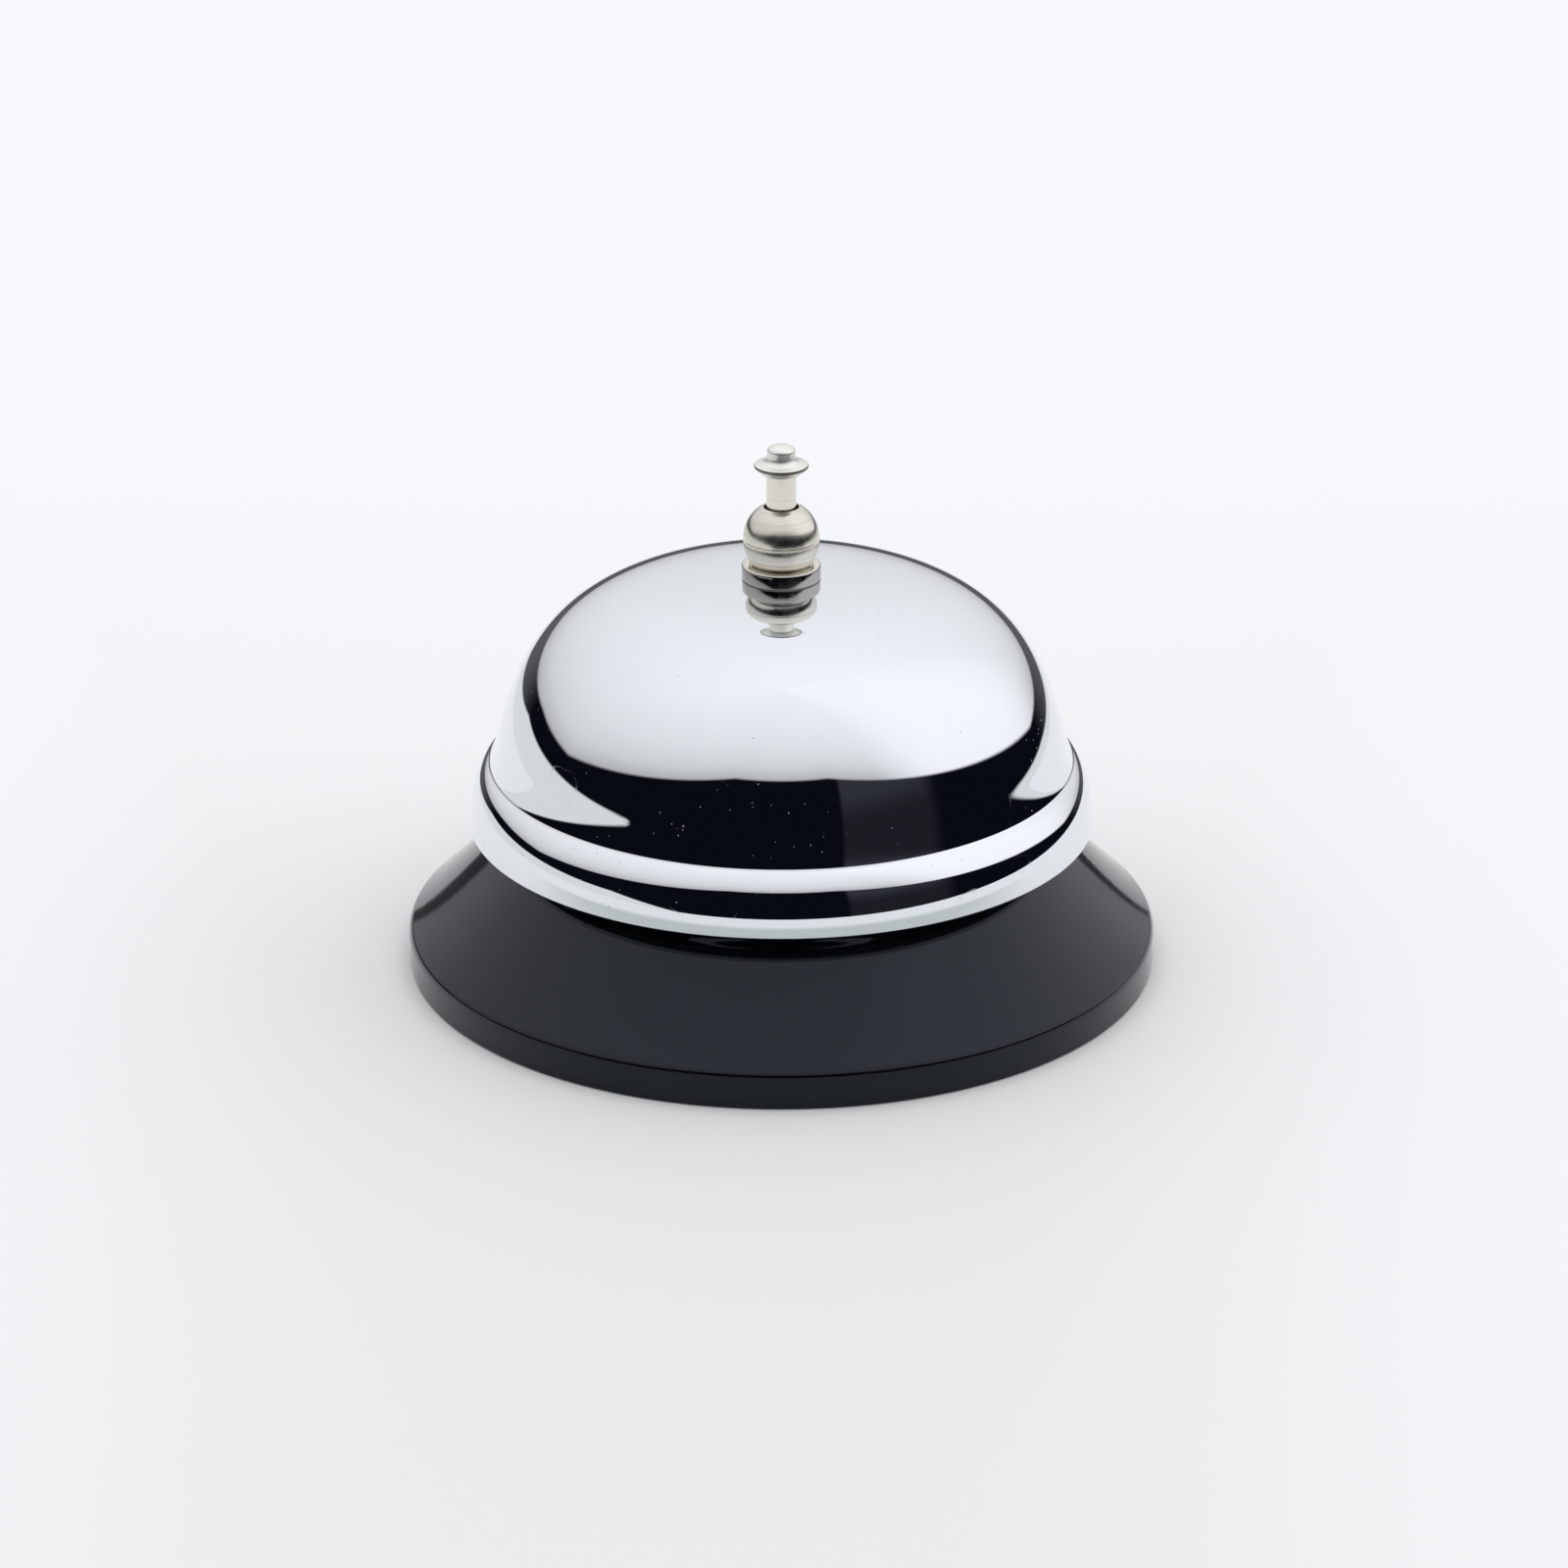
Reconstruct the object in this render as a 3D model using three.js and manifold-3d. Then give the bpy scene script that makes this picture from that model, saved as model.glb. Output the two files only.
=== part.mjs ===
// Counter service bell: pressed base, chromed dome, push button and a rocking striker.
// Millimetres, +Z up, origin on the table under the centre of the base.
import * as THREE from 'three';
import { mergeVertices } from 'three/addons/utils/BufferGeometryUtils.js';
import Module from 'manifold-3d';

const wasm = await Module();
wasm.setup();

// ---- driving dimensions ----
const base = {
  radius: 42.5, hemInner: 40.2, wall: 1.0, edgeTop: 3.5, bottomRound: 0.35,
  shoulderBend: [42.5, 4.1], shoulder: [42.0, 4.5], flareBend: [37.0, 8.9], flareTop: [28.6, 18.6],
  platformBend: [27.4, 20.0], platformEdge: [25.6, 20.0], platformTop: 20.0, postHole: 4.15,
};
const dome = {
  crownTop: 45.3, capBase: 8.46, capRadius: 33.2, capPower: 3.2, capEnd: 27.3,
  creaseBend: [32.5, 24.75], crease: [32.93, 23.8],
  skirtBend: [34.7, 22.7], skirtFall: [35.4, 19.8], rim: [35.45, 17.15],
  rimRound: 0.4, wall: 1.0, holeRadius: 2.75,
};
const post = {
  tailBottom: 14.6, tailRadius: 4.0, flangeRadius: 6.2, flangeTop: 21.6, bodyRadius: 4.2,
  shoulder: 43.14, neckRadius: 2.55, neckTop: 49.65, springBore: 3.05, boreTop: 41.4, rodBore: 1.8,
  windowHalfWidth: 1.7, windowBottom: 22.8, windowTop: 29.4,
};
const rod = {
  radius: 1.68, bottom: 28.6, shoulder: 57.5, spigotRadius: 0.95, top: 59.8,
  grooveBottom: 40.45, grooveTop: 41.25, grooveRadius: 1.25,
};
const button = {
  flangeRadius: 3.03, undersideRadius: 2.1, underside: 57.52, bevelEdge: [2.92, 58.22],
  edgeBottom: 58.34, edgeTop: 58.6, brim: [[2.3, 58.72], [1.7, 58.86]],
  bossRadius: 1.58, bossFoot: 59.5, bossShoulder: 60.1, crownBend: [1.54, 60.8], top: 60.85,
  spigotHole: 1.0, holeTop: 59.9,
};
const nut = { // the ball nut that clamps the dome
  bottom: 46.75, neckRadius: 3.2, ballRadius: 4.28, equator: 49.95, lowerRise: 4.6, top: 53.7,
  holeRadius: 1.95, boreRadius: 2.6, boreTop: 50.65, grooveDepth: 0.12, grooveHalf: 0.09,
};
const collar = {
  bottom: 45.32, top: 47.0, radius: 4.42, holeRadius: 2.65, recessRadius: 3.5,
  recessFloor: 46.73, edgeRound: 0.28,
};
const striker = {
  stroke: 3.6, swing: 0.4248, pivotX: 9.5, pivotZ: 26.1, armThick: 1.2, armHalfWidth: 1.3,
  hubRadius: 1.9, hubBore: 1.06, hubHalfWidth: 2.85, headReach: 17.4, headRadius: 2.6,
  shankRadius: 0.85, eyeRadius: 2.2, tailRadius: 1.5, tailHeight: 0.6,
};
const bracket = {
  thick: 1.0, earInner: 3.0, plateMinX: 6.7, plateMaxX: 14.2, plateHalfWidth: 8.6,
  earFootMinX: 6.9, earFootMaxX: 12.9, earTopRadius: 2.3, pinHole: 1.04, rivetX: 11.2, rivetY: 6.2,
};
const pin = { radius: 1.0, headRadius: 1.7, headThick: 0.6, clipThick: 0.5, clipRadius: 2.1 };
const rivet = { headRadius: 1.5, headRise: 0.95, shankRadius: 0.85, tailRadius: 1.35, tailDrop: 0.6 };
const pad = { x: 21.0, radius: 2.2, top: 22.35, stemRadius: 0.9, bulbRadius: 1.5, bulbDrop: 1.6 };
const spring = { meanRadius: 2.36, wireRadius: 0.28, bottom: 32.05, top: 40.45, turns: 6.5 };
const postWasher = { outer: 8.0, inner: 4.2, thick: 0.8 };
const hexNut = { cornerRadius: 7.5, thick: 3.0 };
const seatWasher = { outer: 5.2, inner: 2.6, bottom: 43.16, top: 44.14 };
const clip = { outer: 2.7, inner: 1.28, thick: 0.7, mouth: 0.5 }; // mouth: half angle, radians
const foot = { inner: 37.6, outer: 39.95, lipOuter: 41.15, lipBottom: 1.06, lipTop: 1.9 };
const bush = { outer: 2.98, inner: 1.77, bottom: 30.4, top: 32.0 };
const seatGap = 0.02; // between turned pieces that rest on each other
const holeGap = 0.1; // round a shank in its hole

// ---- finishes ----
function finish(color, roughness, metalness) {
  return new THREE.MeshStandardMaterial({ color, roughness, metalness });
}
const blackPaint = finish(0x101114, 0.22, 0.0);
const chrome = finish(0xe4e6ea, 0.05, 1.0);
const nickel = finish(0xcfc8b8, 0.22, 1.0);
const zinc = finish(0xa9adb0, 0.42, 1.0);
const springSteel = finish(0x8d9196, 0.3, 1.0);
const rubber = finish(0x17181a, 0.85, 0.0);
const nylon = finish(0xe6e1d4, 0.55, 0.0);
const fibre = finish(0x7a3b2a, 0.8, 0.0);

// ---- shape helpers ----
const bell = new THREE.Group();

function addPiece(parent, name, geometry, material) {
  const mesh = new THREE.Mesh(geometry, material);
  mesh.name = name;
  parent.add(mesh);
  return mesh;
}

// Turns a closed outline of [radius, height] points about +Z.
function turned(outline, segments) {
  const profile = outline.map(([radius, height]) => new THREE.Vector2(radius, height));
  return new THREE.LatheGeometry(profile, segments).rotateX(Math.PI / 2);
}

function ring(outer, inner, bottom, top, segments) {
  const outline = [[inner, bottom], [outer, bottom], [outer, top], [inner, top], [inner, bottom]];
  return turned(outline, segments);
}

// Outline points of a Bezier curve through its two to four control points.
function bend(controls, steps) {
  const points = controls.map(([radius, height]) => new THREE.Vector2(radius, height));
  const curve = points.length === 3
    ? new THREE.QuadraticBezierCurve(...points) : new THREE.CubicBezierCurve(...points);
  return curve.getPoints(steps).map((point) => [point.x, point.y]);
}

// Moves each point of an open outline to its right-hand side by the wall thickness.
function inset(outline, wall) {
  return outline.map(([radius, height], index) => {
    const before = outline[Math.max(index - 1, 0)];
    const after = outline[Math.min(index + 1, outline.length - 1)];
    const alongRadius = after[0] - before[0];
    const alongHeight = after[1] - before[1];
    const length = Math.hypot(alongRadius, alongHeight);
    return [radius - wall * alongHeight / length, height + wall * alongRadius / length];
  });
}

function toSolid(geometry) {
  const bare = geometry.clone();
  bare.deleteAttribute('normal');
  bare.deleteAttribute('uv');
  const merged = mergeVertices(bare, 1e-5);
  const source = merged.index.array;
  const triangles = [];
  for (let i = 0; i < source.length; i += 3) {
    const [a, b, c] = [source[i], source[i + 1], source[i + 2]];
    if (a !== b && b !== c && c !== a) triangles.push(a, b, c);
  }
  const vertProperties = new Float32Array(merged.attributes.position.array);
  const mesh = new wasm.Mesh({ numProp: 3, vertProperties, triVerts: new Uint32Array(triangles) });
  return new wasm.Manifold(mesh);
}

function toGeometry(solid) {
  const mesh = solid.getMesh();
  const geometry = new THREE.BufferGeometry();
  geometry.setAttribute('position', new THREE.BufferAttribute(mesh.vertProperties, 3));
  geometry.setIndex(new THREE.BufferAttribute(mesh.triVerts, 1));
  geometry.computeVertexNormals();
  return geometry;
}

// A plain drill along +Z, for cutting holes.
function drill(x, y, radius, bottom, top) {
  const geometry = new THREE.CylinderGeometry(radius, radius, top - bottom, 16);
  return toSolid(geometry.rotateX(Math.PI / 2).translate(x, y, (bottom + top) / 2));
}

// ---- base ----
function baseShell() {
  const outer = [
    [base.radius, base.bottomRound],
    ...bend([[base.radius, base.edgeTop], base.shoulderBend, base.shoulder], 3),
    ...bend([base.shoulder, base.flareBend, base.flareTop], 8).slice(1),
    ...bend([base.flareTop, base.platformBend, base.platformEdge], 4).slice(1),
    [base.postHole, base.platformTop],
  ];
  const underside = inset(outer, base.wall).reverse();
  const hem = [
    [base.radius - base.wall, base.wall],
    [base.hemInner, base.wall],
    [base.hemInner, 0],
    [base.radius - base.bottomRound, 0],
  ];
  const outline = [...outer, ...underside.slice(0, -1), ...hem, outer[0]];
  const below = base.platformTop - base.wall - 1;
  const above = base.platformTop + 1;
  return toGeometry(toSolid(turned(outline, 40))
    .subtract(drill(bracket.rivetX, bracket.rivetY, rivet.shankRadius + holeGap, below, above))
    .subtract(drill(bracket.rivetX, -bracket.rivetY, rivet.shankRadius + holeGap, below, above))
    .subtract(drill(pad.x, 0, pad.stemRadius + holeGap, below, above)));
}
addPiece(bell, 'base_shell', baseShell(), blackPaint);

const footOutline = [
  [foot.inner, 0], [foot.outer, 0], [foot.outer, foot.lipBottom], [foot.lipOuter, foot.lipBottom],
  [foot.lipOuter, foot.lipTop], [foot.inner, foot.lipTop], [foot.inner, 0],
];
addPiece(bell, 'foot_ring', turned(footOutline, 40), rubber);

// ---- post and what holds it ----
function centerPost() {
  const outline = [
    [post.springBore, post.tailBottom], [post.tailRadius, post.tailBottom],
    [post.tailRadius, base.platformTop + seatGap], [post.flangeRadius, base.platformTop + seatGap],
    [post.flangeRadius, post.flangeTop], [post.bodyRadius, post.flangeTop],
    [post.bodyRadius, post.shoulder], [post.neckRadius, post.shoulder],
    [post.neckRadius, post.neckTop], [post.rodBore, post.neckTop],
    [post.rodBore, post.boreTop], [post.springBore, post.boreTop],
    [post.springBore, post.tailBottom],
  ];
  const height = post.windowTop - post.windowBottom;
  const window = new THREE.BoxGeometry(4, 2 * post.windowHalfWidth, height);
  window.translate(4, 0, (post.windowTop + post.windowBottom) / 2);
  return toGeometry(toSolid(turned(outline, 24)).subtract(toSolid(window)));
}
addPiece(bell, 'center_post', centerPost(), zinc);

const washerTop = base.platformTop - base.wall - seatGap;
const washerBottom = washerTop - postWasher.thick;
const washerRing = ring(postWasher.outer, postWasher.inner, washerBottom, washerTop, 24);
addPiece(bell, 'post_washer', washerRing, zinc);

function postNut() {
  const outline = new THREE.Shape();
  for (let corner = 0; corner < 6; corner += 1) {
    const angle = corner * Math.PI / 3;
    const point = [hexNut.cornerRadius * Math.cos(angle), hexNut.cornerRadius * Math.sin(angle)];
    if (corner === 0) outline.moveTo(...point);
    else outline.lineTo(...point);
  }
  outline.closePath();
  const hole = new THREE.Path().absarc(0, 0, post.tailRadius + holeGap, 0, 2 * Math.PI, true);
  outline.holes.push(hole);
  const settings = { depth: hexNut.thick, bevelEnabled: false, curveSegments: 12 };
  const geometry = new THREE.ExtrudeGeometry(outline, settings);
  return geometry.translate(0, 0, washerBottom - seatGap - hexNut.thick);
}
addPiece(bell, 'post_nut', postNut(), zinc);
addPiece(bell, 'guide_bush', ring(bush.outer, bush.inner, bush.bottom, bush.top, 24), nylon);
const seatRing = ring(seatWasher.outer, seatWasher.inner, seatWasher.bottom, seatWasher.top, 24);
addPiece(bell, 'dome_seat_washer', seatRing, fibre);

// ---- dome ----
// The cap is a superellipse, so its crown is flatter and its side fuller than a ball's.
function capPoints(count) {
  const power = 2 / dome.capPower;
  const rise = dome.crownTop - dome.capBase;
  const endAngle = Math.acos(((dome.capEnd - dome.capBase) / rise) ** (1 / power));
  const holeAngle = Math.asin((dome.holeRadius / dome.capRadius) ** (1 / power));
  const points = [];
  for (let i = 0; i <= count; i += 1) {
    const angle = endAngle + (holeAngle - endAngle) * i / count;
    points.push([
      dome.capRadius * Math.sin(angle) ** power,
      dome.capBase + rise * Math.cos(angle) ** power,
    ]);
  }
  return points;
}

function bellDome() {
  const cap = capPoints(13);
  const skirt = bend([dome.rim, dome.skirtFall, dome.skirtBend, dome.crease], 7);
  const crease = bend([dome.crease, dome.creaseBend, cap[0]], 3);
  const outer = [...skirt, ...crease.slice(1), ...cap.slice(1)];
  const inner = inset(outer, dome.wall).reverse();
  inner[0][0] = dome.holeRadius;
  const rimBottom = dome.rim[1] - dome.rimRound;
  const rim = [
    [dome.rim[0] - dome.wall + dome.rimRound, rimBottom],
    [dome.rim[0] - dome.rimRound, rimBottom],
  ];
  return turned([...outer, ...inner, ...rim, outer[0]], 40);
}
addPiece(bell, 'bell_dome', bellDome(), chrome);

const collarOutline = [
  [collar.holeRadius, collar.bottom], [collar.radius - 0.1, collar.bottom],
  [collar.radius, collar.bottom + 0.1],
  ...bend([
    [collar.radius, collar.top - collar.edgeRound], [collar.radius, collar.top],
    [collar.radius - collar.edgeRound, collar.top],
  ], 3),
  [collar.recessRadius, collar.top], [collar.recessRadius, collar.recessFloor],
  [collar.holeRadius, collar.recessFloor], [collar.holeRadius, collar.bottom],
];
addPiece(bell, 'collar_ring', turned(collarOutline, 24), nickel);

function ballNut() {
  const lower = [];
  const lowerStart = Math.asin((nut.equator - nut.grooveHalf - nut.bottom - 0.15) / nut.lowerRise);
  for (let i = 0; i <= 5; i += 1) {
    const angle = lowerStart * (1 - i / 5);
    lower.push([
      nut.ballRadius * Math.cos(angle),
      nut.equator - nut.grooveHalf - nut.lowerRise * Math.sin(angle),
    ]);
  }
  const upper = [];
  const upperEnd = Math.asin((nut.top - nut.equator) / nut.ballRadius);
  for (let i = 0; i <= 7; i += 1) {
    const angle = upperEnd * i / 7;
    const lift = i === 0 ? nut.grooveHalf : 0;
    upper.push([nut.ballRadius * Math.cos(angle), nut.equator + nut.ballRadius * Math.sin(angle) + lift]);
  }
  const outline = [
    [nut.boreRadius, nut.bottom], [nut.neckRadius, nut.bottom],
    ...lower, [nut.ballRadius - nut.grooveDepth, nut.equator],
    ...upper, [nut.holeRadius, nut.top - 0.12],
    [nut.holeRadius, nut.boreTop], [nut.boreRadius, nut.boreTop], [nut.boreRadius, nut.bottom],
  ];
  return turned(outline, 24);
}
addPiece(bell, 'ball_nut', ballNut(), nickel);

// ---- plunger ----
const plunger = new THREE.Group();
bell.add(plunger);

const rodOutline = [
  [0, rod.bottom], [rod.radius - 0.25, rod.bottom], [rod.radius, rod.bottom + 0.25],
  [rod.radius, rod.grooveBottom], [rod.grooveRadius, rod.grooveBottom],
  [rod.grooveRadius, rod.grooveTop], [rod.radius, rod.grooveTop],
  [rod.radius, rod.shoulder], [rod.spigotRadius, rod.shoulder], [rod.spigotRadius, rod.top],
  [0, rod.top],
];
addPiece(plunger, 'plunger_rod', turned(rodOutline, 20), nickel);

const buttonOutline = [
  [button.spigotHole, button.underside], [button.undersideRadius, button.underside], button.bevelEdge,
  [button.flangeRadius, button.edgeBottom], [button.flangeRadius, button.edgeTop],
  ...bend([...button.brim, [button.bossRadius, button.bossFoot]], 4),
  ...bend([
    [button.bossRadius, button.bossShoulder], button.crownBend, [0, button.top],
  ], 4).slice(0, -1),
  [0, button.top], [0, button.holeTop], [button.spigotHole, button.holeTop],
  [button.spigotHole, button.underside],
];
addPiece(plunger, 'push_button', turned(buttonOutline, 24), nickel);

function plungerClip() {
  const outline = new THREE.Shape();
  outline.absarc(0, 0, clip.outer, clip.mouth, 2 * Math.PI - clip.mouth, false);
  outline.absarc(0, 0, clip.inner, 2 * Math.PI - clip.mouth, clip.mouth, true);
  outline.closePath();
  const settings = { depth: clip.thick, bevelEnabled: false, curveSegments: 14 };
  return new THREE.ExtrudeGeometry(outline, settings).translate(0, 0, rod.grooveBottom + 0.05);
}
addPiece(plunger, 'plunger_clip', plungerClip(), springSteel);

// ---- return spring ----
class Coil extends THREE.Curve {
  getPoint(t, target = new THREE.Vector3()) {
    const angle = 2 * Math.PI * spring.turns * t;
    const low = spring.bottom + spring.wireRadius;
    const rise = spring.top - spring.bottom - 2 * spring.wireRadius;
    return target.set(
      spring.meanRadius * Math.cos(angle), spring.meanRadius * Math.sin(angle), low + rise * t,
    );
  }
}
const wire = new THREE.Shape().absarc(0, 0, spring.wireRadius, 0, 2 * Math.PI, false);
addPiece(bell, 'return_spring', new THREE.ExtrudeGeometry(wire, {
  steps: Math.round(spring.turns * 14), curveSegments: 3, bevelEnabled: false, extrudePath: new Coil(),
}), springSteel);

// ---- striker bracket ----
function bracketEar(side) {
  const outline = new THREE.Shape();
  const low = base.platformTop + seatGap + 0.2;
  const turn = 0.25; // slope of the ear's edges, radians
  outline.moveTo(bracket.earFootMinX, low);
  outline.lineTo(bracket.earFootMaxX, low);
  outline.absarc(striker.pivotX, striker.pivotZ, bracket.earTopRadius, turn, Math.PI - turn, false);
  outline.closePath();
  const hole = new THREE.Path();
  hole.absarc(striker.pivotX, striker.pivotZ, bracket.pinHole, 0, 2 * Math.PI, true);
  outline.holes.push(hole);
  const settings = { depth: bracket.thick, bevelEnabled: false, curveSegments: 10 };
  const geometry = new THREE.ExtrudeGeometry(outline, settings).rotateX(Math.PI / 2);
  return geometry.translate(0, side > 0 ? bracket.earInner + bracket.thick : -bracket.earInner, 0);
}

function strikerBracket() {
  const length = bracket.plateMaxX - bracket.plateMinX;
  const plate = new THREE.BoxGeometry(length, 2 * bracket.plateHalfWidth, bracket.thick);
  const bottom = base.platformTop + seatGap;
  plate.translate(bracket.plateMinX + length / 2, 0, bottom + bracket.thick / 2);
  let solid = toSolid(plate).add(toSolid(bracketEar(1))).add(toSolid(bracketEar(-1)));
  for (const side of [-1, 1]) {
    const y = side * bracket.rivetY;
    solid = solid.subtract(drill(bracket.rivetX, y, rivet.shankRadius + holeGap, bottom - 1, bottom + 2));
  }
  return toGeometry(solid);
}
addPiece(bell, 'striker_bracket', strikerBracket(), zinc);

const rivetSeat = base.platformTop + 2 * seatGap + bracket.thick;
const rivetTailTop = base.platformTop - base.wall - seatGap;
const rivetOutline = [
  [0, rivetTailTop - rivet.tailDrop], [rivet.tailRadius - 0.25, rivetTailTop - rivet.tailDrop],
  [rivet.tailRadius, rivetTailTop - rivet.tailDrop + 0.25], [rivet.tailRadius, rivetTailTop],
  [rivet.shankRadius, rivetTailTop], [rivet.shankRadius, rivetSeat], [rivet.headRadius, rivetSeat],
  ...bend([
    [rivet.headRadius, rivetSeat + 0.15], [rivet.headRadius, rivetSeat + rivet.headRise],
    [0, rivetSeat + rivet.headRise],
  ], 4),
];
for (const [name, side] of [['bracket_rivet_left', 1], ['bracket_rivet_right', -1]]) {
  const piece = addPiece(bell, name, turned(rivetOutline, 16), zinc);
  piece.position.set(bracket.rivetX, side * bracket.rivetY, 0);
}

// The pin lies along Y through both ears; its head is on the -Y side.
const earOuter = bracket.earInner + bracket.thick;
const pinEnd = earOuter + pin.clipThick + 0.6;
const pinOutline = [
  [0, -earOuter - 0.05 - pin.headThick], [pin.headRadius - 0.2, -earOuter - 0.05 - pin.headThick],
  [pin.headRadius, -earOuter + 0.15 - pin.headThick], [pin.headRadius, -earOuter - 0.05],
  [pin.radius, -earOuter - 0.05], [pin.radius, pinEnd - 0.2], [pin.radius - 0.2, pinEnd], [0, pinEnd],
];
const pivot = new THREE.Group();
pivot.position.set(striker.pivotX, 0, striker.pivotZ);
bell.add(pivot);
addPiece(pivot, 'pivot_pin', turned(pinOutline, 24).rotateX(-Math.PI / 2), springSteel);
const clipLow = earOuter + 0.05;
const pivotClip = ring(pin.clipRadius, pin.radius + 0.03, clipLow, clipLow + pin.clipThick, 24);
addPiece(pivot, 'pivot_clip', pivotClip.rotateX(-Math.PI / 2), springSteel);

// ---- striker, drawn level along +X from its pivot and tipped to its resting slope ----
const lever = new THREE.Group();
lever.rotation.y = striker.swing / 2;
pivot.add(lever);
const tipReach = striker.stroke / 2 / Math.sin(striker.swing / 2);

function strikerArm() {
  const half = striker.armThick / 2;
  const outline = new THREE.Shape();
  outline.moveTo(striker.headReach, half);
  outline.absarc(-tipReach, 0, half, Math.PI / 2, 1.5 * Math.PI, false);
  outline.lineTo(striker.headReach, -half);
  outline.closePath();
  const settings = { depth: 2 * striker.armHalfWidth, bevelEnabled: false, curveSegments: 8 };
  const bar = new THREE.ExtrudeGeometry(outline, settings).rotateX(Math.PI / 2);
  bar.translate(0, striker.armHalfWidth, 0);
  const hub = ring(striker.hubRadius, 0.5, -striker.hubHalfWidth, striker.hubHalfWidth, 24);
  const bore = new THREE.CylinderGeometry(striker.hubBore, striker.hubBore, 8, 24);
  const eye = new THREE.CylinderGeometry(striker.eyeRadius, striker.eyeRadius, striker.armThick, 24);
  eye.rotateX(Math.PI / 2).translate(striker.headReach, 0, 0);
  return toGeometry(toSolid(bar)
    .add(toSolid(hub.rotateX(Math.PI / 2)))
    .add(toSolid(eye))
    .subtract(toSolid(bore))
    .subtract(drill(striker.headReach, 0, striker.shankRadius + 0.05, -2, 2)));
}
addPiece(lever, 'striker_arm', strikerArm(), zinc);

const headSeat = striker.armThick / 2 + 0.03;
const headOutline = [
  [0, -headSeat - striker.tailHeight], [striker.tailRadius - 0.3, -headSeat - striker.tailHeight],
  [striker.tailRadius, -headSeat - 0.2], [striker.tailRadius, -headSeat],
  [striker.shankRadius, -headSeat], [striker.shankRadius, headSeat],
];
for (let i = 0; i <= 7; i += 1) {
  const angle = Math.PI / 2 * i / 7;
  const radius = i === 7 ? 0 : striker.headRadius * Math.cos(angle);
  headOutline.push([radius, headSeat + striker.headRadius * Math.sin(angle)]);
}
const head = addPiece(lever, 'striker_head', turned(headOutline, 24), springSteel);
head.position.x = striker.headReach;

// ---- rest pad ----
const padBelow = base.platformTop - base.wall - seatGap;
const padAbove = base.platformTop + seatGap;
const padOutline = [
  [0, padBelow - pad.bulbDrop], [0.5, padBelow - pad.bulbDrop], [pad.bulbRadius, padBelow - 0.4],
  [pad.bulbRadius, padBelow], [pad.stemRadius, padBelow], [pad.stemRadius, padAbove],
  [pad.radius, padAbove], [pad.radius, pad.top - 0.4], [pad.radius - 0.4, pad.top], [0, pad.top],
];
const restPad = addPiece(bell, 'rest_pad', turned(padOutline, 20), rubber);
restPad.position.x = pad.x;

export default bell;
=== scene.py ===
import math
import bmesh
import bpy
from mathutils import Matrix, Vector


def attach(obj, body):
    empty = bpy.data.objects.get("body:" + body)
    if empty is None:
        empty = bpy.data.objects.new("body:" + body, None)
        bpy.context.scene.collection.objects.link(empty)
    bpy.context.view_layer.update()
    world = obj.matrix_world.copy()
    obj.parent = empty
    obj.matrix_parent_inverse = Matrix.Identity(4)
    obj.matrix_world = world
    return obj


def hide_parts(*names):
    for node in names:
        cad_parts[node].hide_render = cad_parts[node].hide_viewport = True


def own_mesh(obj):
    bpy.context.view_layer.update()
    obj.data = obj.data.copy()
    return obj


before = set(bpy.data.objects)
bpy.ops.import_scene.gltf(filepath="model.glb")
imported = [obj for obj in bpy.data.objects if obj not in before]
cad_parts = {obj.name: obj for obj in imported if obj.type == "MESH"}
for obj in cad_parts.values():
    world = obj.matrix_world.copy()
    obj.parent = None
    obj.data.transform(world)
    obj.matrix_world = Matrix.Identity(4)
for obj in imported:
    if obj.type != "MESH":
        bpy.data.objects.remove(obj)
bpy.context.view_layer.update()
mm = 0.001  # outlines below are in millimetres


cameraSetup = {
    "distance": 0.600,  # from the origin, metres
    "elevation": 24.15,  # degrees above the table
    "pitch": 22.35,  # downward tilt of the optical axis, degrees
    "side": 0.0003,  # a little to the right, metres
    "lens": 119.95,
    "sensor": 36.0,
}


def makeCamera():
    data = bpy.data.cameras.new("camera")
    data.lens = cameraSetup["lens"]
    data.sensor_width = cameraSetup["sensor"]
    data.clip_start = 0.01
    camera = bpy.data.objects.new("camera", data)
    bpy.context.scene.collection.objects.link(camera)
    up = math.radians(cameraSetup["elevation"])
    reach = cameraSetup["distance"]
    camera.location = (cameraSetup["side"], -reach * math.cos(up), reach * math.sin(up))
    camera.rotation_euler = (math.radians(90 - cameraSetup["pitch"]), 0, 0)
    bpy.context.scene.camera = camera


makeCamera()
print("camera placed")


# outlines are lists of (radius, height)
def rounded(corners, steps=5):
    # a corner with a third number gets a fillet of that radius
    points = []
    for i, corner in enumerate(corners):
        here = Vector(corner[:2])
        if len(corner) < 3:
            points.append(tuple(here))
            continue
        before = (Vector(corners[i - 1][:2]) - here).normalized()
        after = (Vector(corners[(i + 1) % len(corners)][:2]) - here).normalized()
        half = before.angle(after) / 2
        reach = corner[2] / math.tan(half)
        centre = here + (before + after).normalized() * corner[2] / math.sin(half)
        start = (here + before * reach - centre).normalized()
        end = (here + after * reach - centre).normalized()
        for k in range(steps + 1):
            points.append(tuple(centre + start.slerp(end, k / steps) * corner[2]))
    return points


def bend(controls, steps):
    # Bezier curve through two ends, pulled by the points between them
    order = len(controls) - 1
    points = []
    for k in range(steps + 1):
        t = k / steps
        spot = Vector((0, 0))
        for i, control in enumerate(controls):
            spot += math.comb(order, i) * (1 - t) ** (order - i) * t**i * Vector(control)
        points.append(tuple(spot))
    return points


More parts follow.
